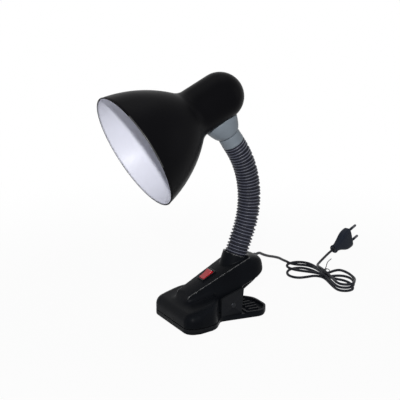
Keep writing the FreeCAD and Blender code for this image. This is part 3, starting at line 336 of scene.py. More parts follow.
def lathe(profile, place, segments=96, close=True):
    """Vertices and faces of a profile (r, z) turned about a placement's Z, and each face's profile step."""
    verts, faces, rows = [], [], []
    angles = turns(segments)
    for r, z in profile:
        if r < ON_AXIS:
            ring = [around(place, 0.0, 0.0, z)]
        else:
            ring = [around(place, r, a, z) for a in angles]
        rows.append(range(len(verts), len(verts) + len(ring)))
        verts += ring
    spans = list(zip(rows, rows[1:]))
    if close:
        spans.append((rows[-1], rows[0]))
    steps = []
    for number, (low, high) in enumerate(spans):
        for i in range(segments):
            j = (i + 1) % segments
            if len(low) == 1:
                faces.append((low[0], high[j], high[i]))
            elif len(high) == 1:
                faces.append((low[i], low[j], high[0]))
            else:
                faces.append((low[i], low[j], high[j], high[i]))
            steps.append(number)
    return verts, faces, steps


def bend_point(start, corner, end, t):
    """Point of the curve that leaves start and reaches end, both in line with the corner."""
    return tuple(s * (1 - t) ** 2 + c * 2 * t * (1 - t) + e * t ** 2 for s, c, e in zip(start, corner, end))


def rounded_profile(corners, steps=5):
    """Profile from corners (r, z, rounding); its two ends stay sharp."""
    out = [corners[0][:2]]
    for before, (x, y, radius), after in zip(corners, corners[1:], corners[2:]):
        if radius == 0:
            out.append((x, y))
            continue
        here = Vector((x, y))
        back = Vector(before[:2]) - here
        ahead = Vector(after[:2]) - here
        reach = min(radius, back.length * 0.49, ahead.length * 0.49)
        start = here + back.normalized() * reach
        end = here + ahead.normalized() * reach
        out += [bend_point(start, here, end, k / steps) for k in range(steps + 1)]
    return out + [corners[-1][:2]]


def along(degrees):
    """Direction that leans from +Z towards +X."""
    turn = math.radians(degrees)
    return Vector((math.sin(turn), 0, math.cos(turn)))


def stand(point, degrees):
    """Placement at a point whose Z leans from +Z towards +X."""
    return Matrix.Translation(Vector(point) * MM) @ Matrix.Rotation(math.radians(degrees), 4, "Y")


# ----------------------------------------------------------------------
# Places shared with the CAD model
# ----------------------------------------------------------------------
LINKS = 12                          # lengths of the gooseneck
LINK = 12.75                        # from one of its joints to the next
FIRST_LEAN = 20.0                   # of the three lowest lengths, in degrees
BEND = 5.9                          # how much less each length above them leans
LEANS = [FIRST_LEAN - max(0, i - 2) * BEND for i in range(LINKS)]
NECK = [Vector((17.5, 0, 79.9))]    # the foot of the neck, then the top of each length
for lean_angle in LEANS:
    NECK.append(NECK[-1] + along(lean_angle) * LINK)
HEAD_LEAN = LEANS[-1]
COLLAR = stand(NECK[-1], HEAD_LEAN)
COLLAR_LENGTH = 14.5
COLLAR_TOP = stand(NECK[-1] + along(HEAD_LEAN) * COLLAR_LENGTH, HEAD_LEAN)
TUBE_BORE = 5.2                     # hole of the collar and the saddle
SHADE = stand((-124.3, 0, 228.7), 90.0 - 25.8)  # middle of the mouth, with Z towards the dome
TO_SHADE = SHADE.inverted()
SWITCH_MIDDLE = (-25.0, 0, 57.0)
SWITCH = stand(SWITCH_MIDDLE, -26.8)

# ----------------------------------------------------------------------
# Shade
# ----------------------------------------------------------------------
MOUTH_RADIUS = 75.0
BELL_RUN = 42.0                     # how far the bell narrows
BELL_RISE = 82.0                    # and over what height
BELL_BULGE = 6.1                    # how far its arc stands out from the straight line
BELL_END = (33.6, 80.0)             # (r, z) that the arc runs to
BELL_STEPS = 40
BELL_LEFT_OUT = 2                   # last points of the arc, which give way to the bend
DOME_RADIUS = 30.0
KNEE = (31.2, 82.2)                 # corner of the bend between the bell and the dome
KNEE_STEPS = 6
DOME_START = 90.0
DOME_RINGS = (96.0, 104.0, 112.0, 121.0)
DOME_CENTRE = 130.0                 # height of the middle of the dome's round end
DOME_STEPS = 16
SHEET = 1.0                         # thickness
SHADE_SEGMENTS = 160
BEAD_CENTRE = (74.4, -0.2)
BEAD_RADIUS = 0.85
BEAD_HALF_TURN = 150                # degrees of the rolled rim's arc, each way
BEAD_STEPS = 10
HIGHLIGHT_SIDE = Vector((-0.46, -0.85, 0.27))  # towards the camera and the key lamp, where the rim carries a painted highlight
HIGHLIGHT_SHARE = 0.88                 # cosine of how far the painted highlight reaches to either side


def arc_points(start, middle, end, steps):
    """Points of the circle through three points, from start to end."""
    (ax, ay), (bx, by), (cx, cy) = start, middle, end
    a2, b2, c2 = ax * ax + ay * ay, bx * bx + by * by, cx * cx + cy * cy
    d = 2 * (ax * (by - cy) + bx * (cy - ay) + cx * (ay - by))
    ux = (a2 * (by - cy) + b2 * (cy - ay) + c2 * (ay - by)) / d
    uy = (a2 * (cx - bx) + b2 * (ax - cx) + c2 * (bx - ax)) / d
    radius = math.hypot(ax - ux, ay - uy)
    first = math.atan2(ay - uy, ax - ux)
    last = math.atan2(cy - uy, cx - ux)
    out = []
    for k in range(steps + 1):
        a = first + (last - first) * k / steps
        out.append((ux + radius * math.cos(a), uy + radius * math.sin(a)))
    return out


def bell(offset):
    """Bell and dome as (r, z), set inwards by an offset."""
    chord = math.hypot(BELL_RISE, BELL_RUN)
    out = BELL_BULGE - offset
    start = (MOUTH_RADIUS - offset, 0.0)
    middle = (MOUTH_RADIUS - BELL_RUN / 2 + BELL_RISE / chord * out, BELL_RISE / 2 + BELL_RUN / chord * out)
    end = (BELL_END[0] - offset, BELL_END[1])
    points = arc_points(start, middle, end, BELL_STEPS)[:-BELL_LEFT_OUT]
    radius = DOME_RADIUS - offset
    bend_from = points[-1]
    knee = (KNEE[0] - offset, KNEE[1])
    for k in range(1, KNEE_STEPS + 1):
        points.append(bend_point(bend_from, knee, (radius, DOME_START), k / KNEE_STEPS))
    points += [(radius, z) for z in DOME_RINGS]
    for k in range(DOME_STEPS):
        a = math.pi / 2 * k / DOME_STEPS
        points.append((radius * math.cos(a), DOME_CENTRE + radius * math.sin(a)))
    return points + [(0.0, DOME_CENTRE + radius)]


def rolled_rim():
    """Bead round the mouth, from the inside to the outside."""
    out = []
    for k in range(BEAD_STEPS + 1):
        a = math.radians(-BEAD_HALF_TURN + 2 * BEAD_HALF_TURN * k / BEAD_STEPS)
        out.append((BEAD_CENTRE[0] + BEAD_RADIUS * math.cos(a), BEAD_CENTRE[1] + BEAD_RADIUS * math.sin(a)))
    return out


def make_shade():
    """Pressed sheet with a rolled rim, white inside, and glossy on the rim's stretch that faces the camera
    and key lamp, as a painted highlight.
    """
    inner, bead, outer = bell(SHEET), rolled_rim(), bell(0.0)
    profile = list(reversed(inner)) + bead + outer
    verts, faces, steps = lathe(profile, SHADE, SHADE_SEGMENTS, close=False)
    black, white, highlit = range(3)
    side = SHADE.to_3x3().inverted() @ HIGHLIGHT_SIDE
    side = Vector((side.x, side.y)).normalized()
    index = []
    # Inner faces are white; rim faces towards the camera and key lamp are glossy, a painted highlight; the
    # rest is black.
    for face, step in zip(faces, steps):
        local = TO_SHADE @ verts[face[0]]
        facing = Vector((local.x, local.y)).normalized().dot(side)
        if step < len(inner):
            index.append(white)
        elif step < len(inner) + len(bead) and facing > HIGHLIGHT_SHARE:
            index.append(highlit)
        else:
            index.append(black)
    finishes = (("shade_black", "shade_white", "shade_rim"), index)
    new_piece("shade_shell", verts, faces, finishes, "head", "shade")


make_shade()

# ----------------------------------------------------------------------
# Saddle and neck collar
# ----------------------------------------------------------------------
SADDLE_FOOT = 13.8                  # radius of the flared side at its foot
SADDLE_TOP = 22.5                   # and at its top, seen from the side
SADDLE_OVAL = 5.0                   # how much less that is, seen from the front
SADDLE_RISE = 16.5                  # height at which it is that wide
SADDLE_CURVE = 0.6                  # below 1, it widens fast at first
SADDLE_LOW = 1.0                    # height of the side's first ring
SADDLE_LIP = 12.4                   # radius of the flat underside
SADDLE_FLOOR = 0.35                 # and how far it lies above the collar
SADDLE_WALL = 1.6
SADDLE_LEVELS = 12
SADDLE_SEGMENTS = 96
SADDLE_TRIES = 40
LOWEST_TOP, HIGHEST_TOP = 2.0, 34.0
DOME_GAP = 0.12


def saddle_side(angle, height):
    """Point of the flared side."""
    t = min(1.0, max(0.0, height / SADDLE_RISE))
    spread = SADDLE_TOP - SADDLE_OVAL * math.sin(angle) ** 2
    radius = SADDLE_FOOT + (spread - SADDLE_FOOT) * t ** SADDLE_CURVE
    return around(COLLAR_TOP, radius, angle, height)


def saddle_height(angle):
    """Height at which the side meets the dome, found by halving."""
    low, high = LOWEST_TOP, HIGHEST_TOP
    for _ in range(SADDLE_TRIES):
        middle = (low + high) / 2
        local = TO_SHADE @ saddle_side(angle, middle)
        if math.hypot(local.x, local.y) / MM > DOME_RADIUS + DOME_GAP:
            low = middle
        else:
            high = middle
    return low


def inner_edge(point):
    """The top edge's point moved by the wall's thickness along the dome, towards the saddle's axis."""
    local = TO_SHADE @ point
    radial = Vector((local.x, local.y, 0)).normalized()
    toward = TO_SHADE @ (COLLAR_TOP @ Vector((0, 0, 20 * MM))) - local
    toward -= radial * toward.dot(radial)
    return SHADE @ (local + toward.normalized() * SADDLE_WALL * MM)


def make_saddle():
    """Flared grey foot of the shade, whose top edge follows the dome."""
    angles = turns(SADDLE_SEGMENTS)
    rings = []
    for radius in (TUBE_BORE, SADDLE_LIP):
        rings.append([around(COLLAR_TOP, radius, a, SADDLE_FLOOR) for a in angles])
    tops = [saddle_height(a) for a in angles]
    for k in range(SADDLE_LEVELS + 1):
        heights = [SADDLE_LOW + (top - SADDLE_LOW) * k / SADDLE_LEVELS for top in tops]
        rings.append([saddle_side(a, height) for a, height in zip(angles, heights)])
    rings.append([inner_edge(point) for point in rings[-1]])
    verts = [v for ring in rings for v in ring]
    faces = ring_faces(len(rings), SADDLE_SEGMENTS)
    new_piece("swivel_saddle", verts, faces, "grey", "head", "saddle")


def make_neck_collar():
    """Collar with a bead at its foot and a slight taper above it."""
    profile = rounded_profile([
        (TUBE_BORE, 0.0, 0), (13.9, 0.0, 0.5), (14.6, 0.8, 0.6), (14.6, 3.2, 0.3), (14.35, 3.6, 0.2),
        (14.3, 10.5, 0.6), (13.9, 13.6, 0.8), (12.2, COLLAR_LENGTH, 0.5), (TUBE_BORE, COLLAR_LENGTH, 0)])
    verts, faces, _ = lathe(profile, COLLAR)
    new_piece("neck_top_collar", verts, faces, "grey", "neck_12", "neck_collar")


make_saddle()
make_neck_collar()

# ----------------------------------------------------------------------
# Ribbed sleeve
# ----------------------------------------------------------------------
RIBS = 3                            # on each length
RIB_PITCH = 4.0
RIB_HALF = 1.25                     # half of a rib's width
RIB_POWER = 0.7                     # below 1, it makes a rib fuller than a sine wave
RIB_STEPS = 6                       # from a rib's foot to its crest
CREST = 14.7
ROOT = 12.6
SHADED_GROOVE = 1.35                       # how far above its root the groove gets the darker finish, as painted shade
LIP = ROOT - 0.45                   # ball-shaped lip that turns in the next length's cup
LIP_WALL = 0.9
BORE = 8.6
SKIRT = 3.6                         # how far the first length reaches down into the housing's collar
SLEEVE_SEGMENTS = 72


def rib(middle):
    """One rounded rib as (r, z)."""
    out = []
    for step in range(-RIB_STEPS, RIB_STEPS + 1):
        t = step / RIB_STEPS
        height = math.cos(t * math.pi / 2) ** RIB_POWER if abs(t) < 1 else 0.0
        out.append((ROOT + (CREST - ROOT) * height, middle + t * RIB_HALF))
    return out


def lip(radius, degrees):
    """Point of the ball-shaped lip, whose centre is the joint above."""
    a = math.radians(degrees)
    return radius * math.cos(a), LINK + radius * math.sin(a)


def sleeve_profile(index):
    """One length of bellows: three rounded ribs, a ball-shaped lip above and a cup below."""
    first, last = index == 0, index == LINKS - 1
    if first:
        out = [(ROOT - 0.4, -SKIRT), (ROOT - 0.2, -1.5), (ROOT, 0.8)]
    else:
        out = [(ROOT - 0.35, 1.25), (ROOT, 1.45)]
    for n in range(RIBS):
        out += rib((LINK - (RIBS - 1) * RIB_PITCH) / 2 + n * RIB_PITCH)
    if last:
        out += [(ROOT + 0.8, LINK - 0.9), (ROOT + 1.0, LINK - 0.05), (BORE, LINK - 0.05), (BORE, 3.0)]
    else:
        out += [lip(LIP, degrees) for degrees in (-7.0, -2.0, 3.0, 8.0, 11.0)]
        out += [lip(LIP - LIP_WALL, 10), (LIP - 1.0, LINK - 2.0), (BORE, LINK - 3.4), (BORE, 4.6)]
    out.append((BORE, -SKIRT) if first else (ROOT - 0.4, 3.4))
    return out


def make_sleeves():
    for index in range(LINKS):
        profile = sleeve_profile(index)
        verts, faces, steps = lathe(profile, stand(NECK[index], LEANS[index]), SLEEVE_SEGMENTS)
        ends = profile[1:] + profile[:1]
        # Faces low in the grooves take the darker finish, which is painted shade.
        shaded = [max(here[0], after[0]) < ROOT + SHADED_GROOVE for here, after in zip(profile, ends)]
        finishes = (("sleeve", "sleeve_groove_shade"), [int(shaded[step]) for step in steps])
        number = "%02d" % (index + 1)
        body = "upper_arm" if index == 0 else "neck_" + number
        new_piece("bellows_" + number, verts, faces, finishes, body, "sleeve_" + number)


make_sleeves()

# ----------------------------------------------------------------------
# Upper housing
# ----------------------------------------------------------------------
HOUSING_GRID = 0.8                  # edge of the even faces
ROUNDS = 240                        # of smoothing
ROUNDS_PER_NORMAL = 40
ROUND_SHARE = 0.6                   # how much of its drift a vertex takes in one round
SHOULDER_SHARE = 0.4
EDGE_DRIFT = 0.07                   # inward drift from which a face on the ridge's top edges takes the glossier, slightly lighter clip_edge finish
PROBE_START = 0.4                   # how far off the surface a look into the open starts
PROBE_REACH_M = 0.06
SWITCH_KEPT = (17.0, 12.0)          # half length and half width kept flat round the switch


def ease(value, start, end):
    """0 before start, 1 after end, smooth between; start may be the larger one."""
    t = numpy.clip((value - start) / (end - start), 0.0, 1.0)
    return t * t * (3 - 2 * t)


def even_copy(source, grid):
    """Copy of a CAD mesh with faces of one size all over."""
    blank = show("blank", source.data.copy())
    blank.matrix_world = source.matrix_world
    even = blank.modifiers.new("even", "REMESH")
    even.mode = "VOXEL"
    even.voxel_size = grid * MM
    mesh = as_mesh(blank)
    mesh.transform(source.matrix_world)
    bpy.data.objects.remove(blank)
    return mesh


def read_mesh(mesh):
    """Places in mm and normals of a mesh's vertices."""
    spots = numpy.empty(len(mesh.vertices) * 3)
    ways = numpy.empty(len(mesh.vertices) * 3)
    mesh.vertices.foreach_get("co", spots)
    mesh.vertices.foreach_get("normal", ways)
    return spots.reshape(-1, 3) / MM, ways.reshape(-1, 3)


def write_mesh(mesh, spots):
    mesh.vertices.foreach_set("co", (spots * MM).ravel())
    mesh.update()


def outer_share(mesh, spots, ways, wanted):
    """1 for the wanted vertices that look out into the open, 0 for the rest."""
    corners = [tuple(v.co) for v in mesh.vertices]
    tree = BVHTree.FromPolygons(corners, [tuple(p.vertices) for p in mesh.polygons])
    share = numpy.zeros(len(spots))
    for number in numpy.flatnonzero(wanted):
        way = Vector(ways[number])
        start = Vector(spots[number]) * MM + way * PROBE_START * MM
        share[number] = 1.0 if tree.ray_cast(start, way, PROBE_REACH_M)[0] is None else 0.0
    return share


def housing_shares(spots):
    """For each vertex, the share of flaring and of rounding, and 0 to 1 for how far it is off the switch."""
    x, y, z = spots.T
    up = numpy.array(along(LEANS[0]))
    from_rim = spots - numpy.array(NECK[0])
    from_collar = numpy.linalg.norm(from_rim - numpy.outer(from_rim @ up, up), axis=1)
    half_length, half_width = SWITCH_KEPT
    from_switch = numpy.maximum(numpy.abs(x - SWITCH_MIDDLE[0]) / half_length, numpy.abs(y) / half_width)
    off_switch = ease(from_switch, 1.0, 1.2)
    # Soft borders: above the jaw's rim, in front of the neck, and clear of the switch and the neck's collar.
    flare = ease(z, 17.0, 22.0) * ease(x, 10.0, 0.0) * off_switch * ease(from_collar, 20.0, 23.0)
    # The ridge's rear end, and the shoulder between the ridge's flank and the jaw's top.
    knob = ease(z, 58.0, 66.0) * ease(x, 24.0, 32.0) * ease(from_collar, 17.6, 21.0)
    shoulder = SHOULDER_SHARE * ease(x, -50.0, -34.0) * ease(x, -12.0, -18.0) * ease(numpy.abs(y), 17.0, 22.0)
    shoulder *= ease(z, 22.0, 29.0) * ease(z, 47.0, 42.0)
    return flare, numpy.maximum(knob, shoulder), off_switch


def soften(mesh, spots, ways, flare, rounding):
    """Draw vertices to the middle of their neighbours: outwards only by flare, both ways by rounding.

    It gives how far each vertex is still drawn inwards, which is much at an edge.
    """
    ends = numpy.empty(len(mesh.edges) * 2, dtype=int)
    mesh.edges.foreach_get("vertices", ends)
    first, second = ends.reshape(-1, 2).T
    count = len(spots)
    degree = numpy.maximum(1, numpy.bincount(ends, minlength=count))
    for step in range(ROUNDS):
        if step % ROUNDS_PER_NORMAL == 0 and step > 0:
            write_mesh(mesh, spots)
            ways = read_mesh(mesh)[1]
        middles = []
        for k in range(3):
            at_first = numpy.bincount(first, spots[second, k], count)
            at_second = numpy.bincount(second, spots[first, k], count)
            middles.append((at_first + at_second) / degree)
        drift = numpy.stack(middles, axis=1) - spots
        outward = (drift * ways).sum(axis=1) > 0
        share = numpy.maximum(flare * outward, rounding)
        spots = spots + drift * (ROUND_SHARE * share)[:, None]
    write_mesh(mesh, spots)
    return -(drift * ways).sum(axis=1)


def make_housing():
    """Moulded shell: the ridge flows into the jaw with a wide flare, and its end is round like a knob."""
    mesh = even_copy(nodes["upper_housing"], HOUSING_GRID)
    spots, ways = read_mesh(mesh)
    flare, rounding, off_switch = housing_shares(spots)
    outer = outer_share(mesh, spots, ways, (flare + rounding) > 0)
    inward = soften(mesh, spots, ways, flare * outer, rounding * outer)
    edge = inward * ease(spots[:, 2], 30.0, 38.0) * off_switch
    mesh.materials.clear()
    mesh.materials.append(MATERIALS["clip_black"])
    mesh.materials.append(MATERIALS["clip_edge"])
    for polygon in mesh.polygons:
        polygon.material_index = int(edge[list(polygon.vertices)].mean() > EDGE_DRIFT)
    mesh.polygons.foreach_set("use_smooth", [True] * len(mesh.polygons))
    mesh.name = "upper_shell"
    shell = show("upper_shell", mesh)
    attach(shell, "upper_arm")
    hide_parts("upper_housing")


make_housing()

# ----------------------------------------------------------------------
# Switch
# ----------------------------------------------------------------------
BEZEL = (21.0, 15.0)
WINDOW = (17.4, 12.2)
CASE = (19.0, 13.4)
BEZEL_TOP = 2.0
CASE_TOP = 0.1
CASE_DEPTH = 11.8
ROCKER_REACH = 8.25                 # half of its length
ROCKER_HALF = 5.75                  # and of its width
ROCKER_DEPTH = 3.0                  # from its pivot down
ROCKER_DROP = 1.5                   # how far its pivot lies below the housing's surface
ROCKER_TILT = 10.0                  # degrees at rest
ROCKER_MIDDLE = 4.15                # height of the top face in its middle
ROCKER_DIP = 1.15                   # how much higher its two ends are
ROCKER_SWEEP = 8.75                 # radius of the circle that its ends turn in
ROCKER_EDGE = 2.9                   # lowest height of the top face at its ends
ROCKER_TAPER = 0.98                 # how much shorter its underside is
ROCKER_STEPS = 24


def bevelled(obj, width, segments, angle=35.0):
    """Rounded edges from a bevel modifier that is kept live."""
    bevel = obj.modifiers.new("bevel", "BEVEL")
    bevel.width = width * MM
    bevel.segments = segments
    bevel.limit_method = "ANGLE"
    bevel.angle_limit = math.radians(angle)
    bevel.harden_normals = True


def box_frame(outer, inner, low, high, place):
    """Rectangular ring between two heights: outer and inner are (length, width)."""
    verts = []
    for z in (low, high):
        for length, width in (outer, inner):
            for sx, sy in ((-1, -1), (1, -1), (1, 1), (-1, 1)):
                verts.append(place @ Vector((sx * length / 2 * MM, sy * width / 2 * MM, z * MM)))
    faces = []
    for i in range(4):
        j = (i + 1) % 4
        faces.append((i, j, 8 + j, 8 + i))
        faces.append((4 + j, 4 + i, 12 + i, 12 + j))
        faces.append((8 + i, 8 + j, 12 + j, 12 + i))
        faces.append((j, i, 4 + i, 4 + j))
    return verts, faces


def make_switch_frame():
    """Bezel round the window, and the case below it with a floor across its lower end."""
    verts, faces = box_frame(BEZEL, WINDOW, 0.0, BEZEL_TOP, SWITCH)
    bezel = new_piece("switch_bezel", verts, faces, "switch_black", "upper_arm", "switch_frame")
    bevelled(bezel, 0.7, 4)
    verts, faces = box_frame(CASE, WINDOW, -CASE_DEPTH, CASE_TOP, SWITCH)
    faces.append((4, 5, 6, 7))
    case = new_piece("switch_case", verts, faces, "switch_black", "upper_arm", "switch_frame")
    bevelled(case, 0.4, 2)


def rocker_top(x):
    """Height of the rocker's top face, which is dished and cut off by the circle that its ends turn in."""
    dish = ROCKER_MIDDLE + ROCKER_DIP * (x / ROCKER_REACH) ** 2
    limit = math.sqrt(max(0.0, ROCKER_SWEEP ** 2 - x * x))
    return min(dish, max(limit, ROCKER_EDGE))


def make_rocker():
    """Dished red cap."""
    place = SWITCH @ Matrix.Translation((0, 0, -ROCKER_DROP * MM))
    place = place @ Matrix.Rotation(math.radians(-ROCKER_TILT), 4, "Y")
    rows = [-ROCKER_REACH + 2 * ROCKER_REACH * k / ROCKER_STEPS for k in range(ROCKER_STEPS + 1)]
    top = [(x, y, rocker_top(x)) for x in rows for y in (-ROCKER_HALF, ROCKER_HALF)]
    bottom = [(x * ROCKER_TAPER, y, -ROCKER_DEPTH) for x, y, _ in top]
    verts = [place @ Vector((x * MM, y * MM, z * MM)) for x, y, z in top + bottom]
    faces = []
    base = len(top)
    for a in range(0, 2 * ROCKER_STEPS, 2):
        faces.append((a, a + 2, a + 3, a + 1))
        faces.append((base + a, base + a + 1, base + a + 3, base + a + 2))
        faces.append((a, base + a, base + a + 2, a + 2))
        faces.append((a + 1, a + 3, base + a + 3, base + a + 1))
    last = 2 * ROCKER_STEPS
    faces.append((0, 1, base + 1, base))
    faces.append((last, base + last, base + last + 1, last + 1))
    rocker = new_piece("rocker_cap", verts, faces, "rocker_red", "rocker", "switch_rocker")
    bevelled(rocker, 0.55, 4, angle=40.0)


make_switch_frame()
make_rocker()

# ----------------------------------------------------------------------
# Cord, tie and plug
# ----------------------------------------------------------------------
# The first six points of LEAD and the last one of TO_PLUG are the CAD routes' own. The others are moved or
# added by hand to follow the photograph, within the millimetres that a cord may leave its CAD solids.
LEAD = [
    (45.94, 12.53, 64.0), (69.7, 32.5, 64.0), (86.0, 46.2, 54.0), (102.0, 59.5, 45.5), (123.0, 77.0, 36.0),
    (142.0, 93.0, 26.5), (156.0, 105.5, 17.5), (167.0, 114.5, 11.5), (177.0, 119.5, 5.0),
]
ALONG_HANK = [
    (187.5, 117.5, 1.9), (197.5, 110.0, 1.9), (202.5, 96.5, 1.9), (201.5, 80.0, 1.9), (199.0, 66.0, 1.9),
    (198.2, 56.0, 1.9),
]
NEAR_LOOP_LOW = [
    (198.8, 46.5, 1.9), (202.5, 38.0, 1.9), (208.5, 28.5, 1.9), (209.0, 14.0, 1.9), (202.4, -0.8, 1.9),
    (195.8, -8.0, 1.9), (186.2, -8.4, 1.9), (179.0, -1.8, 1.9), (178.8, 8.0, 1.9), (184.0, 28.0, 1.9),
    (189.0, 45.0, 1.9), (189.8, 57.0, 1.9),
]
FAR_LOOP_LOW = [
    (183.0, 65.5, 1.9), (171.0, 65.5, 1.9), (157.0, 68.0, 1.9), (150.5, 82.0, 1.9), (158.0, 98.5, 1.9),
    (172.0, 107.0, 1.9), (186.0, 103.5, 1.9), (193.0, 90.0, 1.9), (194.2, 72.0, 1.9), (193.9, 58.0, 1.9),
]
NEAR_LOOP_MIDDLE = [
    (195.0, 49.0, 3.5), (199.5, 43.0, 5.7), (207.0, 40.0, 5.7), (213.0, 34.5, 5.7), (215.0, 25.0, 5.7),
    (212.5, 13.0, 5.7), (204.4, 0.8, 5.7), (197.3, -6.5, 5.7), (187.7, -6.9, 5.7), (180.5, -0.4, 5.7),
    (180.1, 9.3, 5.7), (184.5, 27.0, 5.7), (189.5, 44.0, 5.7), (190.3, 56.0, 5.7),
]
FAR_LOOP_MIDDLE = [
    (184.5, 67.0, 5.7), (176.0, 78.0, 5.7), (166.0, 90.0, 5.7), (163.0, 106.0, 5.7), (171.0, 117.5, 5.7),
    (187.0, 120.0, 5.7), (199.0, 109.5, 5.7), (200.5, 92.0, 5.7), (197.5, 78.0, 5.7), (195.4, 66.0, 5.7),
    (194.4, 57.0, 5.7),
]
NEAR_LOOP_TOP = [
    (197.7, 50.4, 8.6), (204.0, 47.0, 11.5), (212.0, 45.0, 12.0), (218.5, 37.5, 9.5), (219.0, 26.0, 7.8),
    (214.0, 12.0, 8.6), (206.0, 1.7, 9.2), (199.4, -5.5, 9.5), (189.7, -5.9, 9.5), (182.5, 0.6, 9.5),
    (182.0, 10.3, 9.5), (187.0, 27.0, 9.5), (191.5, 44.0, 9.5), (195.0, 58.0, 9.5),
]
TO_PLUG = [
    (199.5, 72.0, 8.0), (205.0, 88.0, 5.0), (212.0, 102.0, 2.2), (225.0, 113.0, 2.2), (239.0, 122.5, 4.0),
    (251.5, 130.5, 6.0), (264.5, 138.6, 7.0),
]
ROUTE = (LEAD + ALONG_HANK + NEAR_LOOP_LOW + FAR_LOOP_LOW + NEAR_LOOP_MIDDLE + FAR_LOOP_MIDDLE
         + NEAR_LOOP_TOP + TO_PLUG)
CORD_RADIUS = 1.8
CORD_RESOLUTION = 8                 # of its spline
TUBE_ROUNDNESS = 5                  # bevel resolution of the cord and the tie
TIE_RADIUS = 0.55
TIE_MIDDLE = Vector((194.2, 54.0, 6.2))
TIE_REACH = Vector((8.6, 2.2, 7.2))  # how far the winding reaches from its middle
TIE_PITCH = 1.6                     # how far its turns drift apart along Y
TIE_START = 1.2                     # radians round the hank's waist
TIE_STEP = math.radians(19.8)       # from one point of the winding to the next
TIE_POINTS = 22
TIE_RESOLUTION = 6                  # of its spline
TIE_LOWEST = 0.75
TIE_END = [(197.0, 57.0, 15.5), (199.0, 59.0, 18.0), (203.0, 62.0, 21.0), (210.0, 64.0, 23.0)]


def make_curve(name, points, radius, finish, resolution):
    """Round tube along a NURBS spline."""
    curve = bpy.data.curves.new(name, "CURVE")
    curve.dimensions = "3D"
    curve.bevel_depth = radius * MM
    curve.bevel_resolution = TUBE_ROUNDNESS
    curve.use_fill_caps = True
    curve.resolution_u = resolution
    spline = curve.splines.new("NURBS")
    spline.points.add(len(points) - 1)
    for point, place in zip(spline.points, points):
        point.co = (place[0] * MM, place[1] * MM, place[2] * MM, 1.0)
    spline.order_u = 3
    spline.use_endpoint_u = True
    curve.materials.append(MATERIALS[finish])
    return show(name, curve)


def make_cord():
    """Tube of one spline, and the spline's line."""
    curve = make_curve("cord_line", ROUTE, CORD_RADIUS, "cord", CORD_RESOLUTION)
    tube = as_mesh(curve)
    curve.data.bevel_depth = 0.0
    line = as_mesh(curve)
    path = [tuple(vertex.co) for vertex in line.vertices]
    bpy.data.objects.remove(curve)
    bpy.data.meshes.remove(line)
    cord = show("mains_cord", tube)
    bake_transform(cord)
    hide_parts("cord_lead", "cord_hank", "plug_lead")
    return cord, path


def make_twist_tie():
    """Thin tie wire wound round the hank's waist, with one end left standing."""
    ring = []
    for k in range(TIE_POINTS):
        a = TIE_START + k * TIE_STEP
        x = TIE_MIDDLE.x + TIE_REACH.x * math.cos(a)
        y = TIE_MIDDLE.y + TIE_REACH.y * math.cos(a) + TIE_PITCH * math.sin(a / 2)
        z = TIE_MIDDLE.z + TIE_REACH.z * math.sin(a)
        ring.append((x, y, max(TIE_LOWEST, z)))
    tie = make_curve("twist_tie", ring + TIE_END, TIE_RADIUS, "tie", TIE_RESOLUTION)
    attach(tie, "lower_arm")
    return tie


PLUG = (
    Matrix.Translation(Vector((266.5, 139.4, 6.93)) * MM)
    @ Matrix.Rotation(math.radians(17.0), 4, "Z")
    @ Matrix.Rotation(math.radians(-18.0), 4, "Y")
    @ Matrix.Rotation(math.radians(90.0), 4, "X")
)
LENGTHWAYS = Matrix.Rotation(math.radians(90.0), 4, "Y")
PLUG_FACE = 38.0                    # length of the body, up to the face with the pins
PIN_APART = 18.6
PLUG_SEGMENTS = 48
TAIL_SEGMENTS = 64
PIN_SEGMENTS = 32
# Length along the plug, half its width and half its thickness there.
PLUG_STATIONS = [
    (-0.2, 4.9, 4.9), (2.0, 5.1, 4.9), (6.0, 5.6, 5.0), (10.0, 6.8, 5.3), (14.0, 9.0, 5.7), (18.0, 11.6, 6.1),
    (22.0, 13.8, 6.5), (26.0, 15.2, 6.8), (30.0, 15.8, 6.85), (34.0, 15.9, 6.85), (36.6, 15.6, 6.8),
    (37.7, 15.0, 6.3), (PLUG_FACE, 14.0, 5.4)]
WAIST = 6.0                         # half width up to which the plug is nearly round
# Powers of the outline's sine and cosine: 1 is an ellipse, and less is squarer.
WAIST_POWER, BODY_POWER, THICK_POWER = 0.75, 0.42, 0.55
# Corners (r, z, rounding) of the collar at the plug's tail, of a pin and of its insulated half.
TAIL_COLLAR = [
    (1.9, -1.2, 0), (5.8, -1.2, 0.8), (6.5, -0.5, 0.6), (6.5, 1.4, 0.6), (5.9, 2.0, 0.4), (4.0, 2.0, 0)]
PIN = [(0.0, -0.2, 0), (1.95, -0.2, 0), (1.95, 17.2, 0.8), (1.5, 18.7, 0.6), (0.8, 19.0, 0.2), (0.0, 19.0, 0)]
PIN_SHEATH = [(1.9, -0.3, 0), (2.0, -0.3, 0), (2.0, 9.6, 0.2), (1.94, 10.0, 0)]


def swell(radius, share, power):
    """Coordinate of an outline that is squarer than an ellipse."""
    return radius * math.copysign(abs(share) ** power, share)


def make_plug_body():
    """Flat waisted body, subdivided once."""
    verts = []
    for x, half, thick in PLUG_STATIONS:
        power = BODY_POWER if half > WAIST else WAIST_POWER
        for a in turns(PLUG_SEGMENTS):
            y = swell(half, math.cos(a), power)
            z = swell(thick, math.sin(a), THICK_POWER)
            verts.append(PLUG @ Vector((x * MM, y * MM, z * MM)))
    count = len(PLUG_STATIONS)
    faces = [(a, d, c, b) for a, b, c, d in ring_faces(count, PLUG_SEGMENTS)]
    faces.append(tuple(range(PLUG_SEGMENTS)))
    faces.append(tuple(reversed(range((count - 1) * PLUG_SEGMENTS, count * PLUG_SEGMENTS))))
    body = new_piece("plug_moulding", verts, faces, "plug", "lower_arm", "plug_body")
    body.modifiers.new("smooth", "SUBSURF").render_levels = 1
    return body


def make_plug_tail():
    verts, faces, _ = lathe(rounded_profile(TAIL_COLLAR), PLUG @ LENGTHWAYS, TAIL_SEGMENTS)
    return new_piece("plug_tail", verts, faces, "plug", "lower_arm", "plug_body")


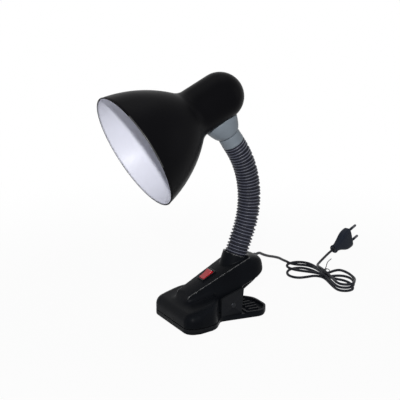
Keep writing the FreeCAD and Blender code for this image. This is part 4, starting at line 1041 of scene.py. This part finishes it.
def make_plug_pins():
    """Two round pins, each with an insulated half next to the plug."""
    pins = []
    for number, side in ((1, -1), (2, 1)):
        place = PLUG @ Matrix.Translation((PLUG_FACE * MM, side * PIN_APART / 2 * MM, 0)) @ LENGTHWAYS
        verts, faces, _ = lathe(rounded_profile(PIN), place, PIN_SEGMENTS, close=False)
        name = "plug_pin_%d" % number
        pins.append(new_piece(name, verts, faces, "nickel", "lower_arm", "plug_pins"))
        verts, faces, _ = lathe(rounded_profile(PIN_SHEATH), place, PIN_SEGMENTS)
        name = "plug_pin_sheath_%d" % number
        pins.append(new_piece(name, verts, faces, "plug", "lower_arm", "plug_pins"))
    return pins


cord, cord_path = make_cord()
plug_pieces = [make_plug_body(), make_plug_tail()] + make_plug_pins()
tie = make_twist_tie()

# ----------------------------------------------------------------------
# Studio
# ----------------------------------------------------------------------
FLOOR_HALF_M = 6.0
FLOOR_DROP_M = 0.0002
FLOOR_GREY = 0.52
FLOOR_ROUGH = 0.9
SHADOW_GLOW = 0.955                 # how much of the floor's look is plain white close to the object,
SHADOW_START_M = 0.25               # growing from this far out
SHADOW_END_M = 0.75                 # to all of it here
WORLD_LIGHT = 0.06                  # strength of the world on the object
MIDDLE_M = (0.0, 0.0, 0.12)
# Name, place and target in metres, length and width in metres, and power in watts.
LAMPS = [
    ("key", (-0.735, -1.229, 0.772), (-0.03, 0.0, 0.15), (0.05, 0.05), 19.0),
    ("top", (0.1, 0.3, 1.8), MIDDLE_M, (1.2, 1.0), 5.0),
    ("side", (1.4, -0.8, 0.7), MIDDLE_M, (0.5, 1.0), 2.0),
]


def direct_rays(tree):
    """1 for camera, glossy and transmission rays, 0 for the rays that light the object."""
    path = tree.nodes.new("ShaderNodeLightPath")
    total = path.outputs["Is Camera Ray"]
    for name in ("Is Glossy Ray", "Is Transmission Ray"):
        add = tree.nodes.new("ShaderNodeMath")
        add.operation = "ADD"
        add.use_clamp = True
        tree.links.new(total, add.inputs[0])
        tree.links.new(path.outputs[name], add.inputs[1])
        total = add.outputs[0]
    return total


def make_world():
    """White where it is seen, and dim where it lights the object."""
    world = bpy.data.worlds.new("studio")
    bpy.context.scene.world = world
    world.use_nodes = True
    tree = world.node_tree
    background = tree.nodes["Background"]
    background.inputs["Color"].default_value = (1.0, 1.0, 1.0, 1.0)
    strength = tree.nodes.new("ShaderNodeMapRange")
    strength.inputs["To Min"].default_value = WORLD_LIGHT
    strength.inputs["To Max"].default_value = 1.0
    tree.links.new(direct_rays(tree), strength.inputs["Value"])
    tree.links.new(strength.outputs["Result"], background.inputs["Strength"])


def floor_material():
    """Grey floor that takes the shadow, under a white glow that direct rays see, whole further out."""
    material = bpy.data.materials.new("floor")
    material.use_nodes = True
    tree = material.node_tree
    bsdf = tree.nodes["Principled BSDF"]
    bsdf.inputs["Base Color"].default_value = (FLOOR_GREY, FLOOR_GREY, FLOOR_GREY, 1.0)
    bsdf.inputs["Roughness"].default_value = FLOOR_ROUGH
    glow = tree.nodes.new("ShaderNodeEmission")
    glow.inputs["Color"].default_value = (1.0, 1.0, 1.0, 1.0)
    coords = tree.nodes.new("ShaderNodeTexCoord")
    reach = tree.nodes.new("ShaderNodeVectorMath")
    reach.operation = "LENGTH"
    tree.links.new(coords.outputs["Object"], reach.inputs[0])
    fade = tree.nodes.new("ShaderNodeMapRange")
    fade.interpolation_type = "SMOOTHSTEP"
    fade.inputs["From Min"].default_value = SHADOW_START_M
    fade.inputs["From Max"].default_value = SHADOW_END_M
    fade.inputs["To Min"].default_value = SHADOW_GLOW
    fade.inputs["To Max"].default_value = 1.0
    tree.links.new(reach.outputs["Value"], fade.inputs["Value"])
    amount = tree.nodes.new("ShaderNodeMath")
    amount.operation = "MULTIPLY"
    tree.links.new(direct_rays(tree), amount.inputs[0])
    tree.links.new(fade.outputs["Result"], amount.inputs[1])
    mixed = tree.nodes.new("ShaderNodeMixShader")
    tree.links.new(amount.outputs[0], mixed.inputs["Fac"])
    tree.links.new(bsdf.outputs["BSDF"], mixed.inputs[1])
    tree.links.new(glow.outputs["Emission"], mixed.inputs[2])
    tree.links.new(mixed.outputs["Shader"], tree.nodes["Material Output"].inputs["Surface"])
    return material


def make_floor():
    half = FLOOR_HALF_M
    corners = [(-half, -half, 0), (half, -half, 0), (half, half, 0), (-half, half, 0)]
    mesh = bpy.data.meshes.new("floor")
    mesh.from_pydata(corners, [], [(0, 1, 2, 3)])
    mesh.materials.append(floor_material())
    floor = show("floor", mesh)
    floor.location = (0, 0, -FLOOR_DROP_M)


def make_lamp(name, place, target, size, power):
    """Rectangular area lamp turned towards a target."""
    light = bpy.data.lights.new(name, "AREA")
    light.shape = "RECTANGLE"
    light.size, light.size_y = size
    light.energy = power
    lamp = show(name, light)
    lamp.location = place
    lamp.rotation_euler = (Vector(target) - Vector(place)).to_track_quat("-Z", "Y").to_euler()


make_world()
make_floor()
for lamp_facts in LAMPS:
    make_lamp(*lamp_facts)
bpy.context.scene.view_settings.view_transform = "Standard"
